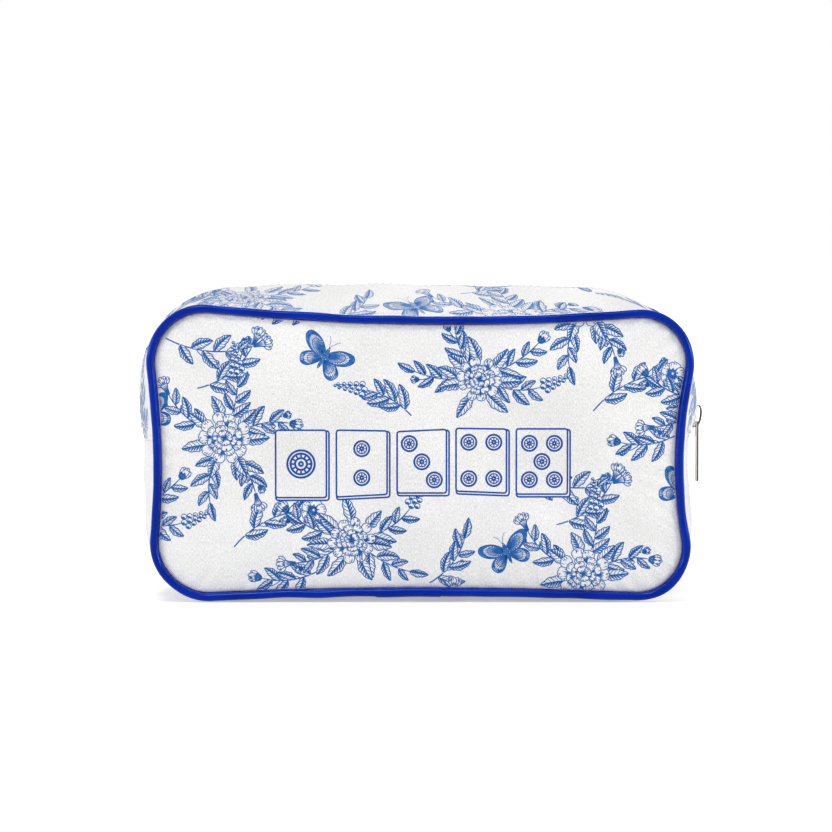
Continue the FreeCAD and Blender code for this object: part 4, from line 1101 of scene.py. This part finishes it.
def diagonal(start, end, thickness, count=4):
    """Rounded section of a strip that lies at 45 degrees between the panel and the gusset."""
    half = thickness / 2
    t = np.linspace(start + half * 0.7, end - half * 0.7, count) * math.sqrt(2)
    cap = np.linspace(-math.pi / 2, math.pi / 2, 5)
    far = np.stack([t[-1] + half * 0.9 * np.cos(cap), half * np.sin(cap)], 1)
    near = np.stack([t[0] - half * 0.9 * np.cos(cap), -half * np.sin(cap)], 1)
    line = np.vstack([np.stack([t[1:-1], np.full(count - 2, -half)], 1), far,
                      np.stack([t[1:-1][::-1], np.full(count - 2, half)], 1), near])
    turn = math.sqrt(0.5)
    return line @ np.array([[turn, turn], [-turn, turn]])


def seam_pieces(side, front):
    """Piping cover, filler cord and binding of one side; returns the cover."""
    flip = not front
    wobble = 1 + 0.010 * ring_waves(31 if front else 32, 20, 60)
    lift = 0.10 * ring_waves(33 if front else 34, 8, 30)
    sway = lift[:, None, None] * np.array([1.0, 0.4])
    around = 24
    outer = circle(PIPING_RADIUS, around) * wobble[:, None, None] + sway
    inner = circle(PIPING_RADIUS - VINYL_THICKNESS, around) + sway
    flange = diagonal(1.1, FLANGE_REACH, FLANGE_THICKNESS)
    # The cover's lapped end is a sleeve round it on the bottom run, thin at both ends.
    at_bottom = SEAM[:, 1] < 20
    lapped = np.flatnonzero((SEAM[:, 0] > LAP_START) & (SEAM[:, 0] < LAP_END) & at_bottom)
    lapped = lapped[np.argsort(SEAM[lapped, 0])]
    thick = np.interp(SEAM[lapped, 0], [LAP_START, LAP_START + 0.4, LAP_END - 0.4, LAP_END],
                      [0.02, LAP_THICKNESS, LAP_THICKNESS, 0.02])
    sleeve = circle(1.0, around) * (PIPING_RADIUS + thick)[:, None, None] + sway[lapped]
    blocks, faces, total = [], [], 0
    for section, places, turned in ((outer, None, flip), (inner, None, not flip), (flange, None, flip),
                                    (sleeve, lapped, flip)):
        grid = along_seam(section, front, places)
        stations, count = grid.shape[:2]
        blocks.append(grid.reshape(-1, 3))
        faces.append(tube_faces(stations, count, total, turned, closed=places is None))
        total += stations * count
    cover = make_piece(side + "_piping_cover", np.vstack(blocks), [f for b in faces for f in b], VINYL,
                       slot="piping_vinyl", replaces=["piping_" + side])
    # The filler cord is of three strands that wind round each other.
    run = SEAM_RUN[:-1, None]
    angles = even_angles(CORD_AROUND)
    lobes = CORD_RADIUS * (0.90 + 0.10 * np.abs(np.cos(1.5 * (angles[None] - run / CORD_TWIST))))
    cord = np.stack([np.cos(angles) * lobes, np.sin(angles) * lobes], -1) + sway
    grid = along_seam(cord, front)
    make_piece(side + "_filler_cord", grid.reshape(-1, 3), tube_faces(RING, CORD_AROUND, flip=flip), CORD,
               slot="filler_cord", replaces=["piping_cord_" + side])
    strip = diagonal(BINDING_START, BINDING_END, BINDING_THICKNESS)
    ripple = 0.06 * ring_waves(35 if front else 36, 60, 140)
    grid = along_seam(strip * (1 + 0.01 * ripple[:, None, None]), front)
    make_piece(side + "_bias_binding", grid.reshape(-1, 3), tube_faces(RING, len(strip), flip=flip),
               BINDING, slot="binding", replaces=["seam_binding_" + side])
    return cover


for side, sign in SIDES:
    tidy_normals(seam_pieces(side, sign < 0))


# The zip: two coils of one wire each, and the stitches that hold the tapes.

def crest_frame(places):
    """Point and outward normal of the crest at fractional ring places, with the cloth's swell."""
    index = np.arange(-RING, 2 * RING)
    swollen = CREST + CREST_NORMAL * (SWELL_AT_ZIP * slow)[:, None]
    at = np.stack([np.interp(places, index, np.tile(swollen[:, k], 3)) for k in (0, 1)], -1)
    normal = np.stack([np.interp(places, index, np.tile(CREST_NORMAL[:, k], 3)) for k in (0, 1)], -1)
    return at, normal / np.linalg.norm(normal, axis=-1, keepdims=True)


def place_at_height(z, right):
    """Ring place where the crest passes a height on the right or the left side."""
    if right:
        return float(np.interp(z, CREST[slice(*RISING), 1], np.arange(*RISING)))
    return float(np.interp(-z, -CREST[slice(*FALLING), 1], np.arange(*FALLING)))


def crest_places(first, last, step):
    """Ring places a step apart along the crest."""
    runs = np.interp([first, last], np.arange(RING + 1), CREST_RUN)
    count = int(round((runs[1] - runs[0]) / step)) + 1
    return np.interp(np.linspace(*runs, count), CREST_RUN, np.arange(RING + 1))


def wire(centres, radius, around, sides, ups):
    """Tube along a line of points, from two unit vectors across it at each point."""
    angles = even_angles(around)
    ring = (sides[:, None] * np.cos(angles)[None, :, None] + ups[:, None] * np.sin(angles)[None, :, None])
    return centres[:, None] + ring * radius


def zip_coil(side, sign):
    """One of the zip's coils: a wire wound along the edge of its tape."""
    pitch, wire_radius = 1.45, 0.31
    per_turn, around = 14, 6
    start, end = place_at_height(COIL_END_RIGHT, True), place_at_height(COIL_END_LEFT, False)
    places = crest_places(start, end, pitch / per_turn)
    phase = np.arange(len(places)) * 2 * math.pi / per_turn + (0 if sign < 0 else math.pi)
    flatter = 0.75
    at, normal = crest_frame(places)
    # The turns lock into each other, except on the slider's path, where its neck needs a slit.
    lock = 0.30 * np.interp(places, np.arange(RING), slit_closed())
    y = sign * (CHAIN_GAP_HALF + 1.40 - lock - (1.06 + lock) * squashed(np.cos(phase), flatter))
    sink = 0.62 - 0.55 * squashed(np.sin(phase), flatter)
    at = at - normal * sink[:, None]
    centres = np.stack([at[:, 0], y, at[:, 1]], 1)
    way = np.gradient(centres, axis=0)
    way /= np.linalg.norm(way, axis=1, keepdims=True)
    along = np.stack([-normal[:, 1], np.zeros(len(normal)), normal[:, 0]], 1)
    across = np.cross(way, along)
    across /= np.linalg.norm(across, axis=1, keepdims=True)
    grid = wire(centres, wire_radius, around, np.cross(across, way), across)
    piece = make_piece("coil_wire_" + side, grid.reshape(-1, 3), rod_faces(len(places), around), COIL,
                       slot="zip_coil", replaces=["zip_coil_" + side])
    tidy_normals(piece)


for side, sign in SIDES:
    zip_coil(side, sign)


def stitches(name, starts, ends, normals, radius=0.2):
    """Row of sewn stitches: each one a thread that dips into the cloth at both ends."""
    around, steps = 6, 7
    t = np.linspace(0, 1, steps)
    arch = np.sin(math.pi * t) ** 0.5
    thin = np.sqrt(np.sin(math.pi * np.clip(t, 0.06, 0.94)))
    points, faces = [], []
    for start, end, normal in zip(starts, ends, normals):
        way = (end - start) / np.linalg.norm(end - start)
        side = np.cross(way, normal)
        line = start + (end - start) * t[:, None] + normal * (arch * 0.24 - 0.12)[:, None]
        angles = even_angles(around)
        ring = side * np.cos(angles)[:, None] + normal * np.sin(angles)[:, None]
        grid = line[:, None] + ring[None] * (radius * thin)[:, None, None]
        faces += rod_faces(steps, around, len(points) * steps * around)
        points.append(grid.reshape(-1, 3))
    make_piece(name, np.vstack(points), faces, THREAD, slot="printed_canvas")


class Patch:
    """Outer face of a gusset layer, looked up by its flat position."""

    def __init__(self, grid, flat):
        self.grid = grid
        self.rows = flat[:, 0, 1]
        self.runs = flat[len(flat) // 2, :, 0]
        along, across = np.gradient(grid, axis=1), np.gradient(grid, axis=0)
        normal = np.cross(along, across)
        normal /= np.maximum(np.linalg.norm(normal, axis=2, keepdims=True), 1e-9)
        middle = grid.reshape(-1, 3).mean(0)
        if ((grid - middle) * normal).sum() < 0:
            normal = -normal
        self.normal = normal

    def at(self, run, y, lift=0.0):
        """Points of the face at runs along the bag and distances across it."""
        grid, normal, rows, runs = self.grid, self.normal, self.rows, self.runs
        if rows[0] > rows[-1]:
            grid, normal, rows = grid[::-1], normal[::-1], rows[::-1]
        if runs[0] > runs[-1]:
            grid, normal, runs = grid[:, ::-1], normal[:, ::-1], runs[::-1]
        r = np.interp(y, rows, np.arange(len(rows)))
        c = np.interp(run, runs, np.arange(len(runs)))
        r0, c0 = np.minimum(r.astype(int), len(rows) - 2), np.minimum(c.astype(int), len(runs) - 2)
        fr, fc = (r - r0)[:, None], (c - c0)[:, None]

        def blend(a):
            return ((a[r0, c0] * (1 - fr) + a[r0 + 1, c0] * fr) * (1 - fc)
                    + (a[r0, c0 + 1] * (1 - fr) + a[r0 + 1, c0 + 1] * fr) * fc)

        way = blend(normal)
        way /= np.linalg.norm(way, axis=1, keepdims=True)
        border = 0.35
        within = ((y >= rows[0] + border) & (y <= rows[-1] - border)
                  & (run >= runs[0] + border) & (run <= runs[-1] - border))
        return blend(grid) + way * lift, way, within


patches = {name: Patch(*layer) for name, layer in gusset.items()}


STITCH_PITCH, STITCH_SHARE = 3.2, 0.78
STITCHED_FROM_ZIP, STITCHED_FROM_END = 6.8, 2.2
CROSS_STITCHES = (8.5, 36.0)


def stitch_line(patch, y, run=None):
    """Starts, ends and normals of stitches along a strip at a distance from the middle, or across it
    at a run, between two distances."""
    if run is None:
        count = int((patch.runs.max() - patch.runs.min() - 3) / STITCH_PITCH)
        low = patch.runs.min() + 1.5 + np.arange(count) * STITCH_PITCH
        first, ways, _ = patch.at(low, np.full(count, y))
        last = patch.at(low + STITCH_PITCH * STITCH_SHARE, np.full(count, y))[0]
    else:
        low = np.arange(y[0], y[1] - STITCH_PITCH, STITCH_PITCH)
        first, ways, _ = patch.at(np.full(len(low), run), low)
        last = patch.at(np.full(len(low), run), low + STITCH_PITCH * STITCH_SHARE)[0]
    return first, last, ways


rows = []
for side, sign in SIDES:
    patch = patches[side]
    rows.append(stitch_line(patch, sign * STITCHED_FROM_ZIP))
    span = sorted(sign * end for end in CROSS_STITCHES)
    for run in (patch.runs.min() + STITCHED_FROM_END, patch.runs.max() - STITCHED_FROM_END):
        rows.append(stitch_line(patch, span, run))
stitches("zip_stitching", *[np.vstack(part) for part in zip(*rows)])


# The print is laid on the cloth, with five framed tiles on the front.

def tile_frame(left, right, top_left, top_right, low_left, low_right, radius=1.1, count=6):
    """Outline of a slightly uneven rounded frame, anticlockwise from its bottom left corner."""
    corners = ((left, low_left, math.pi), (right, low_right, 1.5 * math.pi), (right, top_right, 0),
               (left, top_left, 0.5 * math.pi))
    insides = ((1, 1), (-1, 1), (-1, -1), (1, -1))
    parts = []
    for (x, z, start), (dx, dz) in zip(corners, insides):
        angles = start + np.linspace(0, math.pi / 2, count)
        parts.append(np.stack([x + dx * radius + radius * np.cos(angles),
                               z + dz * radius + radius * np.sin(angles)], 1))
    return np.vstack(parts)


PIP_LAYOUTS = {
    1: ((0, 0),),
    2: ((0, 1), (0, -1)),
    3: ((-1, 1), (0, 0), (1, -1)),
    4: ((-1, 1), (1, 1), (-1, -1), (1, -1)),
    5: ((-1, 1), (1, 1), (0, 0), (-1, -1), (1, -1)),
}
# Left and right edge, then the heights of the top left, top right, bottom left and bottom right corners.
TILE_FRAMES = (
    (-63.6, -41.3, 75.6, 75.6, 45.9, 45.9),
    (-36.9, -14.6, 75.6, 75.3, 46.2, 47.2),
    (-10.2, 11.5, 75.0, 75.9, 47.9, 47.9),
    (15.7, 37.9, 76.4, 76.1, 48.7, 47.9),
    (42.2, 64.7, 76.2, 76.2, 47.4, 47.4),
)
# A pip: its radius, its rings as shares of that with their stroke, then its spokes with their count,
# their ends as shares of the radius, their stroke and the taper of its ends.
BIG_PIP = (6.2, ((0.97, 1.05), (0.74, 1.05), (0.42, 1.05), (0.14, 1.05)), (12, 0.48, 0.68, 0.95, 0.6))
SMALL_PIP = (3.5, ((0.95, 1.0), (0.62, 0.6), (0.20, 1.0)), (8, 0.30, 0.55, 0.5, 0.8))
PIP_SPREAD = (5.5, 8.0)


def draw_frames():
    """Frames, each with a second outline to the right and below, and pips in rows inside."""
    ink = Ink()
    outlines = []
    turns = np.linspace(0, 2 * math.pi, 33)
    unit_ring = np.stack([np.cos(turns), np.sin(turns)], 1)
    for number, (left, right, tl, tr, ll, lr) in enumerate(TILE_FRAMES, 1):
        inner = tile_frame(left, right, tl, tr, ll, lr)
        outer = tile_frame(left + 0.1, right + 1.15, tl - 0.3, tr - 0.3, ll - 1.2, lr - 1.2)
        centre = np.array([(left + right) / 2, (tl + tr + ll + lr) / 4])
        radius, rings, (spokes, spoke_in, spoke_out, width, taper) = BIG_PIP if number == 1 else SMALL_PIP
        for dx, dz in PIP_LAYOUTS[number]:
            # Two pips stand a little closer together than the rows of the others.
            at = centre + (dx * PIP_SPREAD[0], dz * PIP_SPREAD[1] * (0.8 if number == 2 else 1.0))
            for share, stroke in rings:
                ink.stroke(at + unit_ring * radius * share, stroke, 1, 1)
            for k in range(spokes):
                angle = 2 * math.pi * k / spokes
                way = np.array([math.cos(angle), math.sin(angle)])
                spoke = [at + way * radius * spoke_in, at + way * radius * spoke_out]
                ink.stroke(spoke, width, taper, taper)
        ink.outline(inner, 0.85)
        ink.outline(outer, 0.85)
        outlines.append(outer)
    return ink, outlines


pattern = draw_pattern()
frames_ink, frame_outlines = draw_frames()


def panel_surface(piece, front, lift):
    """Lay points given as seen from a panel's own side on that panel."""
    points = np.empty(len(piece.data.vertices) * 3)
    piece.data.vertices.foreach_get("co", points)
    faces = [tuple(polygon.vertices) for polygon in piece.data.polygons]
    tree = BVHTree.FromPolygons(points.reshape(-1, 3).tolist(), faces)
    way = Vector((0, 1 if front else -1, 0))
    nearest = 0.038  # no nearer to the bag's middle, in metres, which leaves out the inner face

    def surface(flat):
        out, hit = np.zeros((len(flat), 3)), np.zeros(len(flat), bool)
        for k, (x, z) in enumerate(flat):
            start = Vector((x if front else -x, -80 if front else 80, z)) * MM
            place = tree.ray_cast(start, way)[0]
            if place is not None and abs(place.y) > nearest:
                out[k] = place / MM
                out[k, 1] += -lift if front else lift
                hit[k] = True
        return out, hit

    return surface


def gusset_surface(patch, lift):
    """Lay points given by their run along a gusset layer and their distance across on that layer."""

    def surface(flat):
        out, _, within = patch.at(flat[:, 0], flat[:, 1], lift)
        return out, within

    return surface


PRINT_LIFT, PRINT_INSET = 0.04, 2.3


def print_panel(side, front, shift):
    """Lay the pattern on a panel, with the framed tiles on the front one."""
    outline = panel_outline(PRINT_INSET)[0]
    if not front:
        outline = outline * (-1, 1)
    drawing = repeated(pattern, outline.min(0), outline.max(0), shift)
    kept = inside(outline, drawing[0])
    if front:
        for polygon in frame_outlines:
            kept &= ~inside(polygon, drawing[0])
    surface = panel_surface(panels[side], front, PRINT_LIFT)
    lay_ink(side + "_print", drawing, surface, INK, kept, flip=not front)
    if front:
        points, sides, numbers = flatten(frames_ink)
        drawing = (points, sides, numbers, np.arange(len(points)))
        lay_ink("front_tile_frames", drawing, surface, FRAME_INK)


print_panel("front", True, (0, 0))
print_panel("back", False, (-60, 30))
# The zip strips carry thinner strokes than the rest of the bag, in a paler ink that is painted light for
# the brighter top.
fine_pattern = (pattern[0], pattern[1] * 0.62, pattern[2])
for name, print_name, shift, drawn, ink in (
        ("front", "zip_strip_print_front", (-40, -52), fine_pattern, STRIP_INK_PAINTED_LIGHT),
        ("back", "zip_strip_print_back", (-100, 0), fine_pattern, STRIP_INK_PAINTED_LIGHT),
        ("low", "gusset_print", (30, -20), pattern, INK)):
    patch = patches[name]
    low = np.array([patch.runs.min(), patch.rows.min()])
    high = np.array([patch.runs.max(), patch.rows.max()])
    lay_ink(print_name, repeated(drawn, low, high, shift), gusset_surface(patch, PRINT_LIFT), ink)


# The slider's bridge: an arched staple, thick in the middle, that the tab's bar runs under.

SLIDER_ANGLE = math.radians(-8.7)
PLATE_TOP = 51.25
BEND_CENTRE = np.array([73.0, 87.5])


def slider_bridge():
    """The bridge, swept along its arch in the plane of the zip's bend."""
    out = np.array([math.cos(SLIDER_ANGLE), math.sin(SLIDER_ANGLE)])
    up = np.array([-out[1], out[0]])
    t = np.linspace(-1, 1, 41)
    angle = t * math.pi / 2
    along = 4.75 * squashed(np.sin(angle), 0.85)
    height = 2.45 * np.abs(np.cos(angle)) ** 0.62 - 0.25
    thick = 0.34 + 0.16 * np.cos(angle)
    line = BEND_CENTRE + out * (PLATE_TOP + height)[:, None] + up * along[:, None]
    way = np.gradient(line, axis=0)
    way /= np.linalg.norm(way, axis=1, keepdims=True)
    normal = np.stack([way[:, 1], -way[:, 0]], 1)
    around = 20
    a = even_angles(around)
    half_wide = 1.1 - 0.12 * np.abs(t) ** 3
    boxy = 0.6
    y = squashed(np.cos(a), boxy)[None] * half_wide[:, None]
    lift = squashed(np.sin(a), boxy)[None] * thick[:, None]
    points = np.stack([line[:, None, 0] + normal[:, None, 0] * lift, y,
                       line[:, None, 1] + normal[:, None, 1] * lift], -1)
    piece = make_piece("bridge_arch", points.reshape(-1, 3), rod_faces(len(t), around), BRIDGE_METAL,
                       body="slider", slot="zip_metal", replaces=["slider_bridge"])
    tidy_normals(piece)


slider_bridge()


# Metal pieces keep their CAD shape and get their material.

for name, material in (("slider_body", METAL), ("pull_tab", TAB_METAL), ("zip_top_stops", STOP_METAL),
                       ("zip_bottom_stop", STOP_METAL)):
    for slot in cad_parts[name].material_slots:
        slot.material = material


# Camera, light and surroundings.

FRAME_CENTRE = Vector((-1.9, -HALF_DEPTH, 81.7)) * MM
ELEVATION = math.radians(3.0)
DISTANCE = 2.0

bpy.context.scene.view_settings.view_transform = "Standard"
camera_data = bpy.data.cameras.new("camera")
camera_data.angle = math.radians(10.46)
camera_data.clip_end = 20
camera = bpy.data.objects.new("camera", camera_data)
camera.location = FRAME_CENTRE + Vector((0, -math.cos(ELEVATION), math.sin(ELEVATION))) * DISTANCE
camera.rotation_euler = (math.pi / 2 - ELEVATION, 0, 0)
bpy.context.scene.collection.objects.link(camera)
bpy.context.scene.camera = camera


def seen_directly(tree):
    """Socket that is 1 for what the camera, metal and glass see, and 0 for light that falls on cloth."""
    rays = tree.nodes.new("ShaderNodeLightPath").outputs
    seen = rays["Is Camera Ray"]
    for ray in ("Is Glossy Ray", "Is Transmission Ray"):
        larger = tree.nodes.new("ShaderNodeMath")
        larger.operation = "MAXIMUM"
        tree.links.new(seen, larger.inputs[0])
        tree.links.new(rays[ray], larger.inputs[1])
        seen = larger.outputs[0]
    return seen


def floor_material():
    """Pale matt paper that the camera sees as white, with the object's shadow on it. Far from the
    lamps it glows up to white for the camera, so its edge doesn't show."""
    nodes = Nodes("floor_paper")
    nodes.set(Base_Color=(0.86, 0.86, 0.86, 1), Roughness=0.9, Specular_IOR_Level=0.1,
              Emission_Color=(1, 1, 1, 1))
    place = nodes.add("ShaderNodeTexCoord").outputs["Object"]
    away = nodes.add("ShaderNodeVectorMath", {0: place}, operation="LENGTH").outputs["Value"]
    glow = nodes.add("ShaderNodeMapRange", {"Value": away, "From Min": 0.45, "From Max": 1.5,
                                            "To Min": 0.42, "To Max": 1.0}).outputs[0]
    nodes.set(Emission_Strength=nodes.math("MULTIPLY", seen_directly(nodes.tree), glow))
    return nodes.material


def stage_floor(radius=8, drop=0.0006, corners=96):
    """Round floor just under the object, in metres."""
    mesh = bpy.data.meshes.new("floor")
    rim = [(radius * math.cos(a), radius * math.sin(a), -drop) for a in even_angles(corners)]
    mesh.from_pydata(rim, [], [range(corners)])
    floor = bpy.data.objects.new("floor", mesh)
    mesh.materials.append(floor_material())
    bpy.context.scene.collection.objects.link(floor)


stage_floor()

world = bpy.data.worlds.new("studio")
world.use_nodes = True
bpy.context.scene.world = world
background = world.node_tree.nodes["Background"]
background.inputs["Color"].default_value = (1, 1, 1, 1)
strength = world.node_tree.nodes.new("ShaderNodeMapRange")
strength.inputs["To Min"].default_value = 0.37
strength.inputs["To Max"].default_value = 1.0
world.node_tree.links.new(seen_directly(world.node_tree), strength.inputs["Value"])
world.node_tree.links.new(strength.outputs[0], background.inputs["Strength"])

LIT_POINT = Vector((0, 0, 0.07))
# Place, diameter and power of each lamp.
LAMPS = {
    "key": ((-0.3, -0.8, 1.8), 0.8, 13.5),
    "right": ((1.5, -0.7, 0.4), 0.5, 9.0),
    "left": ((-1.5, -0.8, 0.4), 0.5, 7.0),
    "rim_right": ((1.5, 0.5, 0.3), 0.1, 1.5),
    "rim_left": ((-1.5, 0.5, 0.3), 0.1, 1.5),
    "behind": ((0.2, 1.6, 1.1), 0.8, 9.0),
    "glint_top": ((-0.2, -0.9, 1.5), 0.07, 2.0),
    "glint_right": ((1.4, -0.9, 0.4), 0.07, 1.5),
    "glint_left": ((-1.4, -0.9, 0.4), 0.07, 1.2),
}
for name, (place, size, energy) in LAMPS.items():
    data = bpy.data.lights.new(name, "AREA")
    data.shape = "DISK"
    data.size = size
    data.energy = energy
    light = bpy.data.objects.new(name, data)
    light.location = place
    light.rotation_euler = (LIT_POINT - Vector(place)).to_track_quat("-Z", "Y").to_euler()
    bpy.context.scene.collection.objects.link(light)
